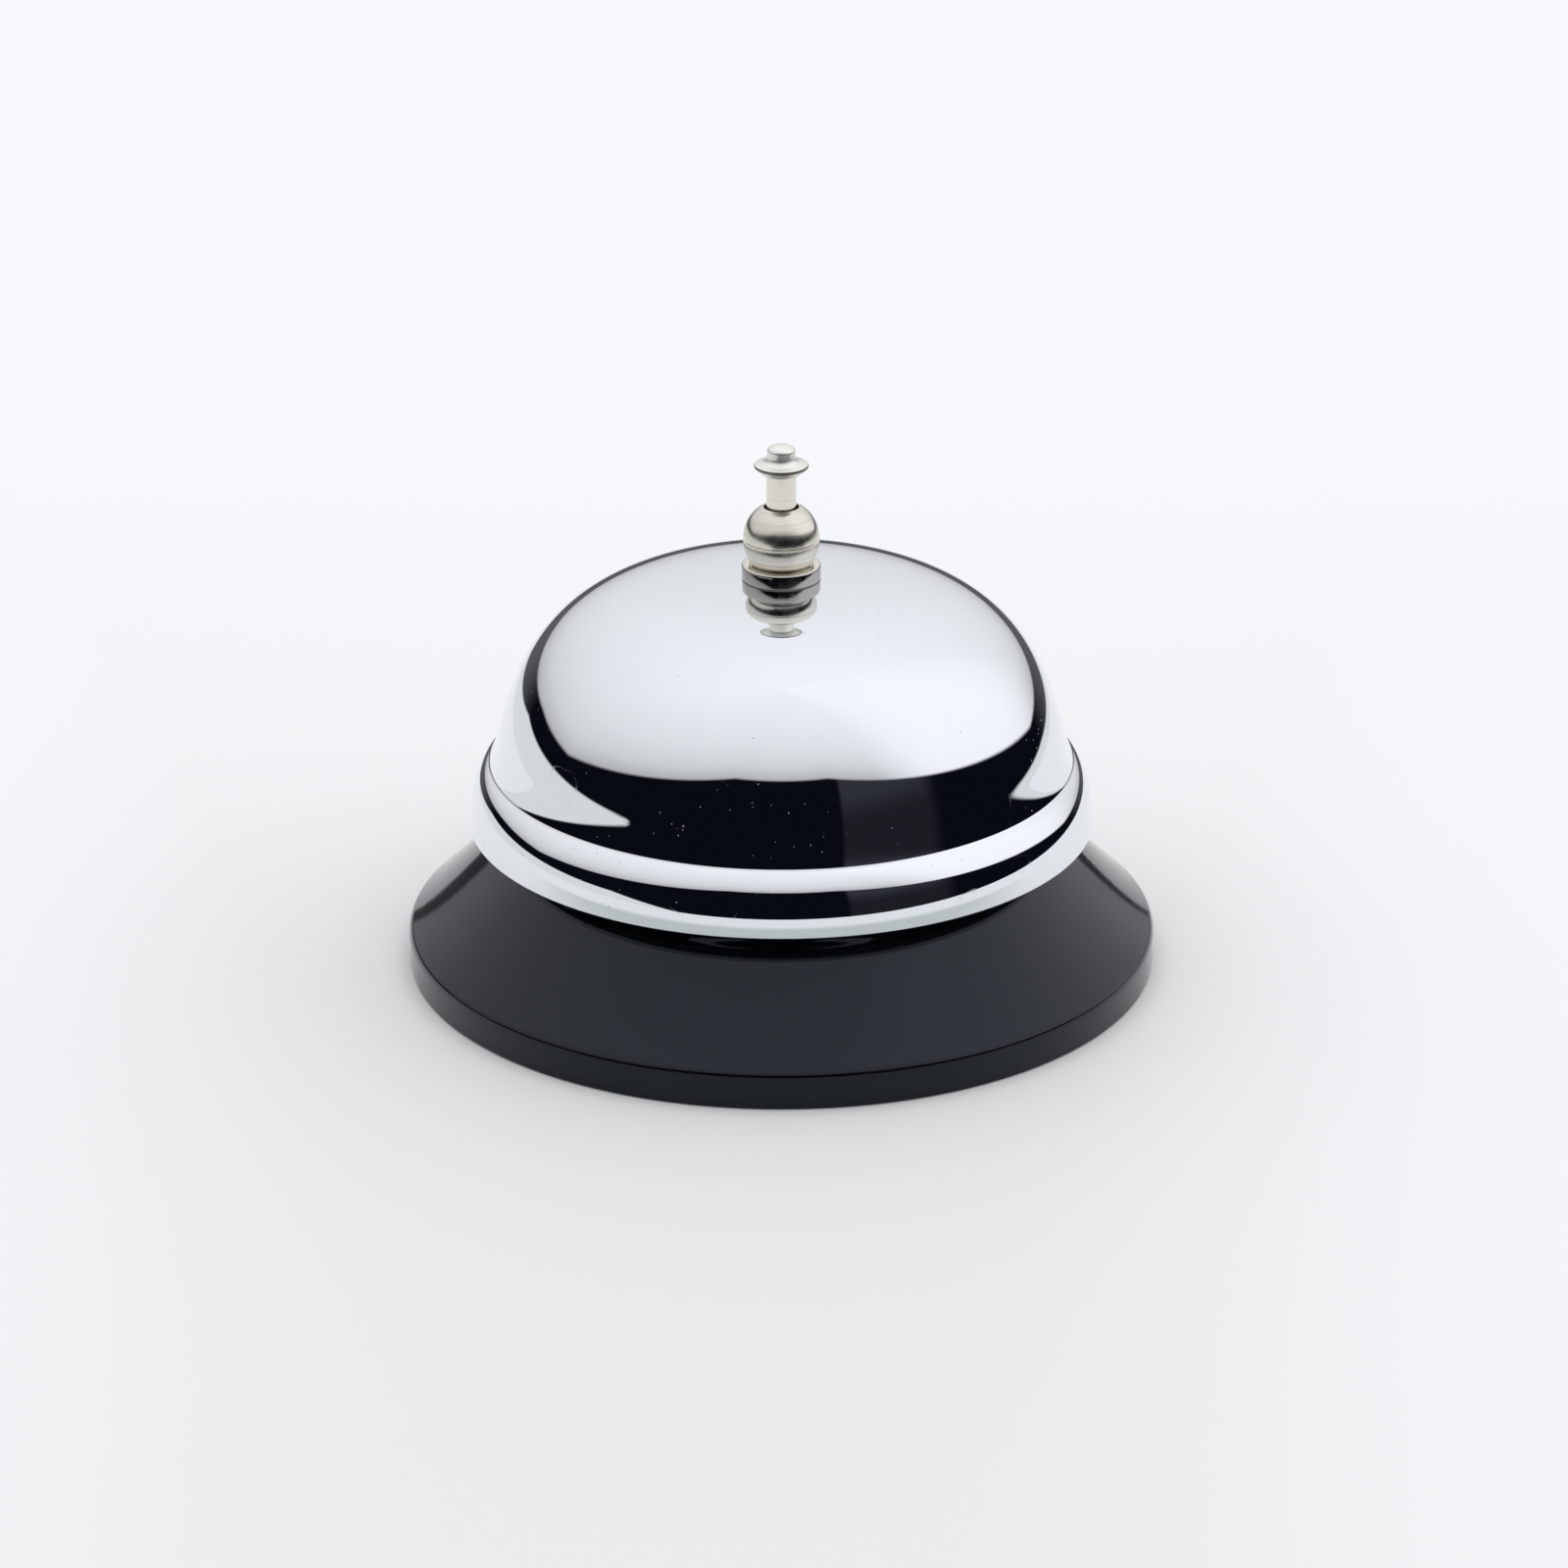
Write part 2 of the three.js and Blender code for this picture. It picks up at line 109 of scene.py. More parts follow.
def inset(outline, wall):
    # the same outline moved to its right-hand side
    moved = []
    for i, (radius, height) in enumerate(outline):
        before = Vector(outline[max(i - 1, 0)])
        after = Vector(outline[min(i + 1, len(outline) - 1)])
        along = (after - before).normalized()
        moved.append((radius - wall * along.y, height + wall * along.x))
    return moved


def spun(outline, steps):
    # a closed outline turned about Z; one that starts and ends on the axis isn't closed again
    bm = bmesh.new()
    verts = [bm.verts.new((radius * mm, 0, height * mm)) for radius, height in outline]
    edges = [bm.edges.new(pair) for pair in zip(verts, verts[1:])]
    if outline[0][0] > 0 or outline[-1][0] > 0:
        edges.append(bm.edges.new((verts[-1], verts[0])))
    bmesh.ops.spin(
        bm, geom=verts + edges, cent=(0, 0, 0), axis=(0, 0, 1), dvec=(0, 0, 0),
        angle=2 * math.pi, steps=steps, use_merge=True, use_duplicate=False,
    )
    bmesh.ops.remove_doubles(bm, verts=bm.verts, dist=1e-7)
    bmesh.ops.recalc_face_normals(bm, faces=bm.faces)
    return bm


def upright(outline, low, high):
    # an outline of (x, z) points given a thickness along Y
    bm = bmesh.new()
    face = bm.faces.new([bm.verts.new((x * mm, low * mm, z * mm)) for x, z in outline])
    grown = bmesh.ops.extrude_face_region(bm, geom=[face])
    moving = [item for item in grown["geom"] if isinstance(item, bmesh.types.BMVert)]
    bmesh.ops.translate(bm, vec=(0, (high - low) * mm, 0), verts=moving)
    bmesh.ops.recalc_face_normals(bm, faces=bm.faces)
    return bm


def rod(radius, low, high, steps=64):
    return spun([(0, low), (radius, low), (radius, high), (0, high)], steps)


def moved(bm, matrix):
    bmesh.ops.transform(bm, matrix=matrix, verts=bm.verts)
    return bm


def shifted(bm, x, y, z=0):
    return moved(bm, Matrix.Translation((x * mm, y * mm, z * mm)))


alongY = Matrix.Rotation(math.radians(-90), 4, "X")  # lays a turned shape down along +Y


def scratchObject(bm):
    mesh = bpy.data.meshes.new("scratch")
    bm.to_mesh(mesh)
    bm.free()
    item = bpy.data.objects.new("scratch", mesh)
    bpy.context.scene.collection.objects.link(item)
    return item


def fitted(start, steps):
    # joins, cuts or trims one mesh with others: steps holds ("UNION", mesh) and the like
    item = scratchObject(start)
    tools = []
    for operation, bm in steps:
        tool = scratchObject(bm)
        tools.append(tool)
        change = item.modifiers.new("fit", "BOOLEAN")
        change.operation = operation
        change.object = tool
        change.solver = "EXACT"
    bpy.context.view_layer.update()
    result = bmesh.new()
    result.from_object(item, bpy.context.evaluated_depsgraph_get())
    for used in [item] + tools:
        mesh = used.data
        bpy.data.objects.remove(used)
        bpy.data.meshes.remove(mesh)
    bmesh.ops.remove_doubles(result, verts=result.verts, dist=1e-7)
    bmesh.ops.dissolve_degenerate(result, edges=result.edges, dist=1e-7)
    return result


def softened(bm, width, angle=30, segments=2):
    # breaks the sharp edges of a cut or pressed piece
    sharp = [e for e in bm.edges if e.is_manifold and e.calc_face_angle() > math.radians(angle)]
    bmesh.ops.bevel(
        bm, geom=sharp, offset=width * mm, offset_type="OFFSET", affect="EDGES",
        segments=segments, profile=0.5, material=-1, clamp_overlap=True,
    )
    bmesh.ops.recalc_face_normals(bm, faces=bm.faces)
    return bm


def addPiece(bm, name, material, body, node, sharpAngle=35):
    mesh = bpy.data.meshes.new(name)
    bm.to_mesh(mesh)
    bm.free()
    mesh.shade_smooth()
    mesh.set_sharp_from_angle(angle=math.radians(sharpAngle))
    mesh.materials.append(materials[material])
    piece = bpy.data.objects.new(name, mesh)
    bpy.context.scene.collection.objects.link(piece)
    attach(piece, body)
    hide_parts(node)
    return piece


def addNode(tree, kind, **settings):
    node = tree.nodes.new(kind)
    for key, value in settings.items():
        setattr(node, key, value)
    return node


def feed(tree, socket, value):
    if isinstance(value, bpy.types.NodeSocket):
        tree.links.new(value, socket)
    else:
        socket.default_value = value


def calc(tree, operation, first, second=None, third=None):
    node = addNode(tree, "ShaderNodeMath", operation=operation)
    for socket, value in zip(node.inputs, (first, second, third)):
        if value is not None:
            feed(tree, socket, value)
    return node.outputs[0]


def remap(tree, value, low, high, toLow=0.0, toHigh=1.0, smooth=False):
    kind = "SMOOTHSTEP" if smooth else "LINEAR"
    node = addNode(tree, "ShaderNodeMapRange", interpolation_type=kind)
    for label, entry in zip(
        ("Value", "From Min", "From Max", "To Min", "To Max"), (value, low, high, toLow, toHigh)
    ):
        feed(tree, node.inputs[label], entry)
    return node.outputs["Result"]


def noise(tree, vector, scale, detail=3.0, roughness=0.5, distortion=0.0):
    node = addNode(tree, "ShaderNodeTexNoise")
    for label, value in zip(
        ("Vector", "Scale", "Detail", "Roughness", "Distortion"),
        (vector, scale, detail, roughness, distortion),
    ):
        feed(tree, node.inputs[label], value)
    return node.outputs["Fac"]


def mixColour(tree, mask, first, second):
    node = addNode(tree, "ShaderNodeMix", data_type="RGBA")
    feed(tree, node.inputs[0], mask)
    feed(tree, node.inputs[6], first)
    feed(tree, node.inputs[7], second)
    return node.outputs[2]


def mixValue(tree, mask, first, second):
    node = addNode(tree, "ShaderNodeMix", data_type="FLOAT")
    feed(tree, node.inputs[0], mask)
    feed(tree, node.inputs[2], first)
    feed(tree, node.inputs[3], second)
    return node.outputs[0]


def startGroup(name, inputs, outputs):
    group = bpy.data.node_groups.new(name, "ShaderNodeTree")
    for label, kind, value in inputs:
        socket = group.interface.new_socket(label, in_out="INPUT", socket_type=kind)
        if value is not None:
            socket.default_value = value
    for label in outputs:
        group.interface.new_socket(label, in_out="OUTPUT", socket_type="NodeSocketFloat")
    return group, group.nodes.new("NodeGroupInput").outputs, group.nodes.new("NodeGroupOutput").inputs


def makeHandlingMarks():
    # cloudy marks left by fingers and polishing cloths: moves slowly from Low to High
    group, given, result = startGroup(
        "handlingMarks",
        [("Vector", "NodeSocketVector", None), ("Scale", "NodeSocketFloat", 60.0),
         ("Low", "NodeSocketFloat", 0.02), ("High", "NodeSocketFloat", 0.06)],
        ["Value"],
    )
    cloud = noise(group, given["Vector"], given["Scale"], 5.0, 0.62, 0.6)
    value = remap(group, cloud, 0.38, 0.72, given["Low"], given["High"], True)
    group.links.new(value, result["Value"])
    return group


def makeDustSpecks():
    # separate specks that gather in patches, as a mask
    group, given, result = startGroup(
        "dustSpecks",
        [("Vector", "NodeSocketVector", None), ("Scale", "NodeSocketFloat", 900.0),
         ("Size", "NodeSocketFloat", 0.12), ("Amount", "NodeSocketFloat", 0.4)],
        ["Mask"],
    )
    cells = addNode(group, "ShaderNodeTexVoronoi", feature="F1")
    group.links.new(given["Vector"], cells.inputs["Vector"])
    group.links.new(given["Scale"], cells.inputs["Scale"])
    pick = addNode(group, "ShaderNodeSeparateColor")
    group.links.new(cells.outputs["Color"], pick.inputs["Color"])
    share = calc(group, "MULTIPLY_ADD", pick.outputs["Green"], 0.8, 0.2)
    size = calc(group, "MULTIPLY", given["Size"], share)
    speck = calc(group, "LESS_THAN", cells.outputs["Distance"], size)
    patch = remap(group, noise(group, given["Vector"], 120.0), 0.45, 0.75, 0.0, given["Amount"])
    chosen = calc(group, "LESS_THAN", pick.outputs["Red"], patch)
    group.links.new(calc(group, "MULTIPLY", speck, chosen), result["Mask"])
    return group


def makeTurningLines():
    # rings left by the lathe tool round the centre line, as a height and as a mask of dull rings
    group, given, result = startGroup(
        "turningLines",
        [("Vector", "NodeSocketVector", None), ("Rings", "NodeSocketFloat", 2200.0)],
        ["Height", "Mask"],
    )
    parts = addNode(group, "ShaderNodeSeparateXYZ")
    group.links.new(given["Vector"], parts.inputs[0])
    squares = calc(group, "MULTIPLY", parts.outputs["X"], parts.outputs["X"])
    squares = calc(group, "MULTIPLY_ADD", parts.outputs["Y"], parts.outputs["Y"], squares)
    spot = addNode(group, "ShaderNodeCombineXYZ")
    group.links.new(calc(group, "SQRT", squares), spot.inputs["X"])
    group.links.new(calc(group, "MULTIPLY", parts.outputs["X"], 0.015), spot.inputs["Y"])
    group.links.new(parts.outputs["Z"], spot.inputs["Z"])
    rings = noise(group, spot.outputs[0], given["Rings"], 4.0, 0.7)
    group.links.new(rings, result["Height"])
    group.links.new(remap(group, rings, 0.5, 0.7, 0.0, 1.0, True), result["Mask"])
    return group


def makeHairScratches():
    # fine scratches lying in two directions, as a mask
    group, given, result = startGroup(
        "hairScratches",
        [("Vector", "NodeSocketVector", None), ("Scale", "NodeSocketFloat", 220.0),
         ("Width", "NodeSocketFloat", 0.012)],
        ["Mask"],
    )
    masks = []
    for turn, stretch in ((0.5, 0.05), (2.1, 0.07)):
        lay = addNode(group, "ShaderNodeMapping")
        lay.inputs["Rotation"].default_value = (turn, turn * 0.6, turn * 1.7)
        lay.inputs["Scale"].default_value = (1.0, stretch, 1.0)
        group.links.new(given["Vector"], lay.inputs["Vector"])
        field = noise(group, lay.outputs["Vector"], given["Scale"], 1.0, 0.5, 0.3)
        line = calc(group, "COMPARE", field, 0.5, given["Width"])
        broken = remap(group, noise(group, given["Vector"], 90.0 + 40.0 * turn), 0.56, 0.62)
        masks.append(calc(group, "MULTIPLY", line, broken))
    group.links.new(calc(group, "MAXIMUM", *masks), result["Mask"])
    return group


groups = {
    "marks": makeHandlingMarks(),
    "dust": makeDustSpecks(),
    "turning": makeTurningLines(),
    "scratches": makeHairScratches(),
}
print("effects made")


def startMaterial(name, **plainValues):
    material = bpy.data.materials.new(name)
    material.use_nodes = True
    tree = material.node_tree
    tree.nodes.clear()
    shader = addNode(tree, "ShaderNodeBsdfPrincipled")
    output = addNode(tree, "ShaderNodeOutputMaterial")
    tree.links.new(shader.outputs["BSDF"], output.inputs["Surface"])
    for label, value in plainValues.items():
        shader.inputs[label.replace("_", " ")].default_value = value
    place = addNode(tree, "ShaderNodeTexCoord")
    return material, tree, shader, place.outputs["Object"]


def useGroup(tree, key, vector, **values):
    node = addNode(tree, "ShaderNodeGroup", node_tree=groups[key])
    tree.links.new(vector, node.inputs["Vector"])
    for label, value in values.items():
        node.inputs[label].default_value = value
    return node.outputs


def addBump(tree, shader, height, strength, distance):
    bump = addNode(tree, "ShaderNodeBump")
    bump.inputs["Strength"].default_value = strength
    bump.inputs["Distance"].default_value = distance
    tree.links.new(height, bump.inputs["Height"])
    tree.links.new(bump.outputs["Normal"], shader.inputs["Normal"])


chromeLook = {
    "colour": (0.79, 0.81, 0.84, 1.0),
    "speckColour": (0.50, 0.52, 0.55, 1.0),
    "polish": (0.006, 0.022),  # roughness where clean and where handled
    "scratchRoughness": 0.10,
    "speckRoughness": 0.45,
}


def makeChrome():
    look = chromeLook
    material, tree, shader, spot = startMaterial("domeChrome", Metallic=1.0)
    marks = useGroup(tree, "marks", spot, Scale=45.0, Low=look["polish"][0], High=look["polish"][1])
    dust = useGroup(tree, "dust", spot, Scale=1600.0, Size=0.16, Amount=0.5)
    hairs = useGroup(tree, "scratches", spot, Scale=160.0, Width=0.004)
    colour = mixColour(tree, dust["Mask"], look["colour"], look["speckColour"])
    tree.links.new(colour, shader.inputs["Base Color"])
    rough = mixValue(tree, hairs["Mask"], marks["Value"], look["scratchRoughness"])
    rough = mixValue(tree, dust["Mask"], rough, look["speckRoughness"])
    tree.links.new(rough, shader.inputs["Roughness"])
    return material


nickelLook = {
    "colour": (0.74, 0.71, 0.64, 1.0),
    "ringColour": (0.60, 0.57, 0.505, 1.0),
    "polish": (0.08, 0.15),
}
ballLook = {
    "colour": (0.70, 0.67, 0.60, 1.0),
    "ringColour": (0.60, 0.57, 0.505, 1.0),
    "polish": (0.17, 0.27),
}
collarLook = {
    "colour": (0.74, 0.71, 0.64, 1.0),
    "ringColour": (0.60, 0.57, 0.505, 1.0),
    "polish": (0.08, 0.15),
    "paintedShade": (0.40, 0.385, 0.365, 1.0),  # painted shade on its outer wall, which faces sideways
    "rimRadius": 0.00428,
}
satinLook = {
    "colour": (0.86, 0.85, 0.81, 1.0),
    "ringColour": (0.81, 0.795, 0.755, 1.0),
    "polish": (0.32, 0.42),
    "paintedShade": (0.16, 0.15, 0.13, 1.0),  # painted shade along the rim of the finger disc
    "rimRadius": 0.00291,
}


def makeNickel(name, look):
    material, tree, shader, spot = startMaterial(name, Metallic=1.0)
    rings = useGroup(tree, "turning", spot, Rings=3000.0)
    marks = useGroup(tree, "marks", spot, Scale=420.0, Low=look["polish"][0], High=look["polish"][1])
    colour = mixColour(tree, rings["Mask"], look["colour"], look["ringColour"])
    # painted shade: faces beyond rimRadius, turned to the side, get a darker colour
    if "paintedShade" in look:
        parts = addNode(tree, "ShaderNodeSeparateXYZ")
        tree.links.new(spot, parts.inputs[0])
        squares = calc(tree, "MULTIPLY", parts.outputs["X"], parts.outputs["X"])
        squares = calc(tree, "MULTIPLY_ADD", parts.outputs["Y"], parts.outputs["Y"], squares)
        radius = calc(tree, "SQRT", squares)
        rim = remap(tree, radius, look["rimRadius"], look["rimRadius"] + 0.0001, 0.0, 1.0, True)
        colour = mixColour(tree, rim, colour, look["paintedShade"])
    tree.links.new(colour, shader.inputs["Base Color"])
    tree.links.new(marks["Value"], shader.inputs["Roughness"])
    addBump(tree, shader, rings["Height"], 0.25, 0.00002)
    return material


paintLook = {
    "colour": (0.0035, 0.004, 0.0055, 1.0),
    "dustColour": (0.07, 0.074, 0.083, 1.0),
    "tint": (0.58, 0.65, 0.77, 1.0),
    "polish": (0.05, 0.10),
    "peelScale": 900.0,
}


def makePaint():
    look = paintLook
    material, tree, shader, spot = startMaterial("blackPaint", IOR=1.5, Specular_Tint=look["tint"])
    marks = useGroup(tree, "marks", spot, Scale=55.0, Low=look["polish"][0], High=look["polish"][1])
    dust = useGroup(tree, "dust", spot, Scale=1500.0, Size=0.12, Amount=0.35)
    colour = mixColour(tree, dust["Mask"], look["colour"], look["dustColour"])
    tree.links.new(colour, shader.inputs["Base Color"])
    tree.links.new(mixValue(tree, dust["Mask"], marks["Value"], 0.7), shader.inputs["Roughness"])
    peel = noise(tree, spot, look["peelScale"], 2.0)
    addBump(tree, shader, peel, 0.10, 0.00004)
    return material


zincLook = {
    "colour": (0.50, 0.51, 0.52, 1.0),
    "cloudColour": (0.40, 0.41, 0.44, 1.0),
    "polish": (0.30, 0.46),
    "spangleScale": 700.0,
}


def makeZinc():
    look = zincLook
    material, tree, shader, spot = startMaterial("zincPlate", Metallic=1.0)
    marks = useGroup(tree, "marks", spot, Scale=160.0, Low=look["polish"][0], High=look["polish"][1])
    spangle = addNode(tree, "ShaderNodeTexVoronoi", feature="F1")
    tree.links.new(spot, spangle.inputs["Vector"])
    spangle.inputs["Scale"].default_value = look["spangleScale"]
    pick = addNode(tree, "ShaderNodeSeparateColor")
    tree.links.new(spangle.outputs["Color"], pick.inputs["Color"])
    colour = mixColour(tree, pick.outputs["Red"], look["colour"], look["cloudColour"])
    tree.links.new(colour, shader.inputs["Base Color"])
    tree.links.new(marks["Value"], shader.inputs["Roughness"])
    addBump(tree, shader, noise(tree, spot, 2600.0, 2.0), 0.15, 0.00003)
    return material


springSteelLook = {
    "colour": (0.42, 0.43, 0.45, 1.0),
    "oilColour": (0.26, 0.25, 0.25, 1.0),
    "polish": (0.22, 0.38),
}


def makeSpringSteel():
    look = springSteelLook
    material, tree, shader, spot = startMaterial("springSteel", Metallic=1.0)
    marks = useGroup(tree, "marks", spot, Scale=300.0, Low=look["polish"][0], High=look["polish"][1])
    oil = remap(tree, noise(tree, spot, 240.0, 4.0, 0.6), 0.5, 0.7, 0.0, 0.8, True)
    tree.links.new(mixColour(tree, oil, look["colour"], look["oilColour"]), shader.inputs["Base Color"])
    tree.links.new(marks["Value"], shader.inputs["Roughness"])
    hairs = useGroup(tree, "scratches", spot, Scale=900.0, Width=0.02)
    addBump(tree, shader, hairs["Mask"], 0.2, 0.00002)
    return material


rubberLook = {
    "colour": (0.018, 0.018, 0.019, 1.0),
    "bloomColour": (0.045, 0.045, 0.047, 1.0),
    "dustColour": (0.16, 0.155, 0.15, 1.0),
}


def makeRubber():
    look = rubberLook
    material, tree, shader, spot = startMaterial("footRubber")
    bloom = remap(tree, noise(tree, spot, 130.0, 5.0, 0.65), 0.42, 0.7, 0.0, 1.0, True)
    dust = useGroup(tree, "dust", spot, Scale=1300.0, Size=0.2, Amount=0.7)
    colour = mixColour(tree, bloom, look["colour"], look["bloomColour"])
    tree.links.new(mixColour(tree, dust["Mask"], colour, look["dustColour"]), shader.inputs["Base Color"])
    tree.links.new(remap(tree, bloom, 0.0, 1.0, 0.62, 0.82), shader.inputs["Roughness"])
    addBump(tree, shader, noise(tree, spot, 3200.0, 3.0, 0.6), 0.3, 0.00004)
    return material


nylonLook = {
    "colour": (0.78, 0.74, 0.64, 1.0),
    "greaseColour": (0.52, 0.47, 0.36, 1.0),
}


def makeNylon():
    look = nylonLook
    material, tree, shader, spot = startMaterial(
        "guideNylon", Subsurface_Weight=0.15, Subsurface_Scale=0.001
    )
    grease = useGroup(tree, "marks", spot, Scale=500.0, Low=0.0, High=1.0)
    colour = mixColour(tree, grease["Value"], look["colour"], look["greaseColour"])
    tree.links.new(colour, shader.inputs["Base Color"])
    tree.links.new(remap(tree, grease["Value"], 0.0, 1.0, 0.55, 0.3), shader.inputs["Roughness"])
    rings = useGroup(tree, "turning", spot, Rings=2400.0)
    addBump(tree, shader, rings["Height"], 0.2, 0.00003)
    return material


fibreLook = {
    "colour": (0.20, 0.045, 0.025, 1.0),
    "strandColour": (0.32, 0.10, 0.06, 1.0),
}


def makeFibre():
    look = fibreLook
    material, tree, shader, spot = startMaterial("washerFibre")
    strands = useGroup(tree, "scratches", spot, Scale=1100.0, Width=0.05)
    colour = mixColour(tree, strands["Mask"], look["colour"], look["strandColour"])
    tree.links.new(colour, shader.inputs["Base Color"])
    marks = useGroup(tree, "marks", spot, Scale=400.0, Low=0.65, High=0.85)
    tree.links.new(marks["Value"], shader.inputs["Roughness"])
    addBump(tree, shader, strands["Mask"], 0.3, 0.00004)
    return material


materials = {
    "chrome": makeChrome(),
    "nickel": makeNickel("nickelPlate", nickelLook),
    "collar": makeNickel("collarNickel", collarLook),
    "ball": makeNickel("turnedNickel", ballLook),
    "satin": makeNickel("satinNickel", satinLook),
    "paint": makePaint(),
    "zinc": makeZinc(),
    "springSteel": makeSpringSteel(),
    "rubber": makeRubber(),
    "nylon": makeNylon(),
    "fibre": makeFibre(),
}
print("materials made")


baseSizes = {
    "radius": 42.5, "wall": 1.0, "hemInner": 40.2, "bottomRound": 0.35, "edgeTop": 3.5,
    "shoulderBend": (42.5, 4.1), "shoulder": (42.0, 4.5), "flareBend": (37.0, 8.9),
    "flareTop": (28.6, 18.6), "platformBend": (27.4, 20.0), "platformEdge": (25.6, 20.0),
    "platformTop": 20.0, "postHole": 4.15, "rivetHole": 0.95, "padHole": 1.0,
}
footSizes = {
    "inner": 37.6, "outer": 39.95, "lipOuter": 41.15, "lipBottom": 1.06, "lipTop": 1.9,
}
seatGap = 0.02  # between pieces that rest on each other
plateTop = baseSizes["platformTop"]
plateUnderside = plateTop - baseSizes["wall"]


def makeBase():
    s = baseSizes
    outer = [
        (s["radius"], s["bottomRound"]),
        *bend([(s["radius"], s["edgeTop"]), s["shoulderBend"], s["shoulder"]], 10),
        *bend([s["shoulder"], s["flareBend"], s["flareTop"]], 40)[1:],
        *bend([s["flareTop"], s["platformBend"], s["platformEdge"]], 12)[1:],
        (s["postHole"], s["platformTop"]),
    ]
    underside = inset(outer, s["wall"])[1:][::-1]
    hem = rounded([
        underside[-1], (s["radius"] - s["wall"], s["wall"], 0.2), (s["hemInner"], s["wall"], 0.4),
        (s["hemInner"], 0, 0.4), (s["radius"], 0, s["bottomRound"]), outer[0],
    ])[1:-2]
    holes = [(bracketSizes["rivetX"], side * bracketSizes["rivetY"], s["rivetHole"]) for side in (-1, 1)]
    holes.append((padSizes["x"], 0, s["padHole"]))
    drills = [
        ("DIFFERENCE", shifted(rod(radius, plateUnderside - 1, plateTop + 1, 32), x, y))
        for x, y, radius in holes
    ]
    bm = fitted(spun(outer + underside + hem, 256), drills)
    addPiece(bm, "base_pressing", "paint", "frame", "base_shell")


def makeFoot():
    s = footSizes
    outline = rounded([
        (s["inner"], 0, 0.3), (s["outer"], 0, 0.3), (s["outer"], s["lipBottom"]),
        (s["lipOuter"], s["lipBottom"], 0.15), (s["lipOuter"], s["lipTop"], 0.3),
        (s["inner"], s["lipTop"], 0.3),
    ])
    addPiece(spun(outline, 192), "foot_band", "rubber", "frame", "foot_ring")


postSizes = {
    "tailBottom": 14.6, "tailRadius": 4.0, "flangeRadius": 6.2, "flangeTop": 21.6, "bodyRadius": 4.2,
    "shoulder": 43.14, "neckRadius": 2.55, "neckTop": 49.65, "springBore": 3.05, "boreTop": 41.4,
    "rodBore": 1.8, "windowHalfWidth": 1.7, "windowBottom": 22.8, "windowTop": 29.4,
    "threadPitch": 0.7, "threadDepth": 0.35, "neckPitch": 0.5, "neckDepth": 0.22,
}


def threadOutline(radius, depth, pitch, low, high):
    # a row of V grooves, listed upwards
    turns = int((high - low) / pitch)
    points = []
    for k in range(turns):
        foot = low + k * pitch
        points += [(radius - depth, foot), (radius, foot + pitch * 0.45), (radius, foot + pitch * 0.55)]
    return points + [(radius - depth, low + turns * pitch)]


def makePost():
    s = postSizes
    seat = plateTop + seatGap
    outline = [
        (s["springBore"], s["tailBottom"]),
        *threadOutline(s["tailRadius"], s["threadDepth"], s["threadPitch"], s["tailBottom"], seat - 0.3),
        (s["tailRadius"] - s["threadDepth"], seat),
        *rounded([
            (s["tailRadius"], seat),
            (s["flangeRadius"], seat, 0.15), (s["flangeRadius"], s["flangeTop"], 0.3),
            (s["bodyRadius"], s["flangeTop"], 0.3), (s["bodyRadius"], s["shoulder"], 0.25),
            (s["neckRadius"], s["shoulder"]),
        ])[1:-1],
        *threadOutline(s["neckRadius"], s["neckDepth"], s["neckPitch"], s["shoulder"], s["neckTop"] - 0.1),
        *rounded([
            (s["neckRadius"], s["neckTop"]), (s["neckRadius"] - 0.3, s["neckTop"]),
            (s["rodBore"], s["neckTop"], 0.1),
            (s["rodBore"], s["boreTop"], 0.1), (s["springBore"], s["boreTop"]),
        ])[1:],
    ]
    height = (s["windowTop"] - s["windowBottom"]) * mm
    window = bmesh.new()
    bmesh.ops.create_cube(window, size=1.0)
    middle = Matrix.Translation((4 * mm, 0, (s["windowTop"] + s["windowBottom"]) / 2 * mm))
    moved(window, middle @ Matrix.Diagonal((4 * mm, 2 * s["windowHalfWidth"] * mm, height, 1)))
    upEdges = [e for e in window.edges if abs((e.verts[0].co - e.verts[1].co).x) > mm]
    bmesh.ops.bevel(
        window, geom=upEdges, offset=0.6 * mm, offset_type="OFFSET", affect="EDGES",
        segments=4, profile=0.5, material=-1,
    )
    bm = fitted(spun(outline, 96), [("DIFFERENCE", window)])
    addPiece(bm, "post_turning", "zinc", "frame", "center_post")


washerSizes = {"outer": 8.0, "inner": 4.2, "thick": 0.8}
hexSizes = {"corner": 7.5, "thick": 3.0, "bore": 4.1, "chamfer": 0.9}
bushSizes = {"outer": 2.98, "inner": 1.77, "bottom": 30.4, "top": 32.0}
seatWasherSizes = {"outer": 5.2, "inner": 2.6, "bottom": 43.16, "top": 44.14}


def ringOutline(inner, outer, bottom, top, edge):
    corners = [(inner, bottom, edge), (outer, bottom, edge), (outer, top, edge), (inner, top, edge)]
    return rounded(corners, 4)


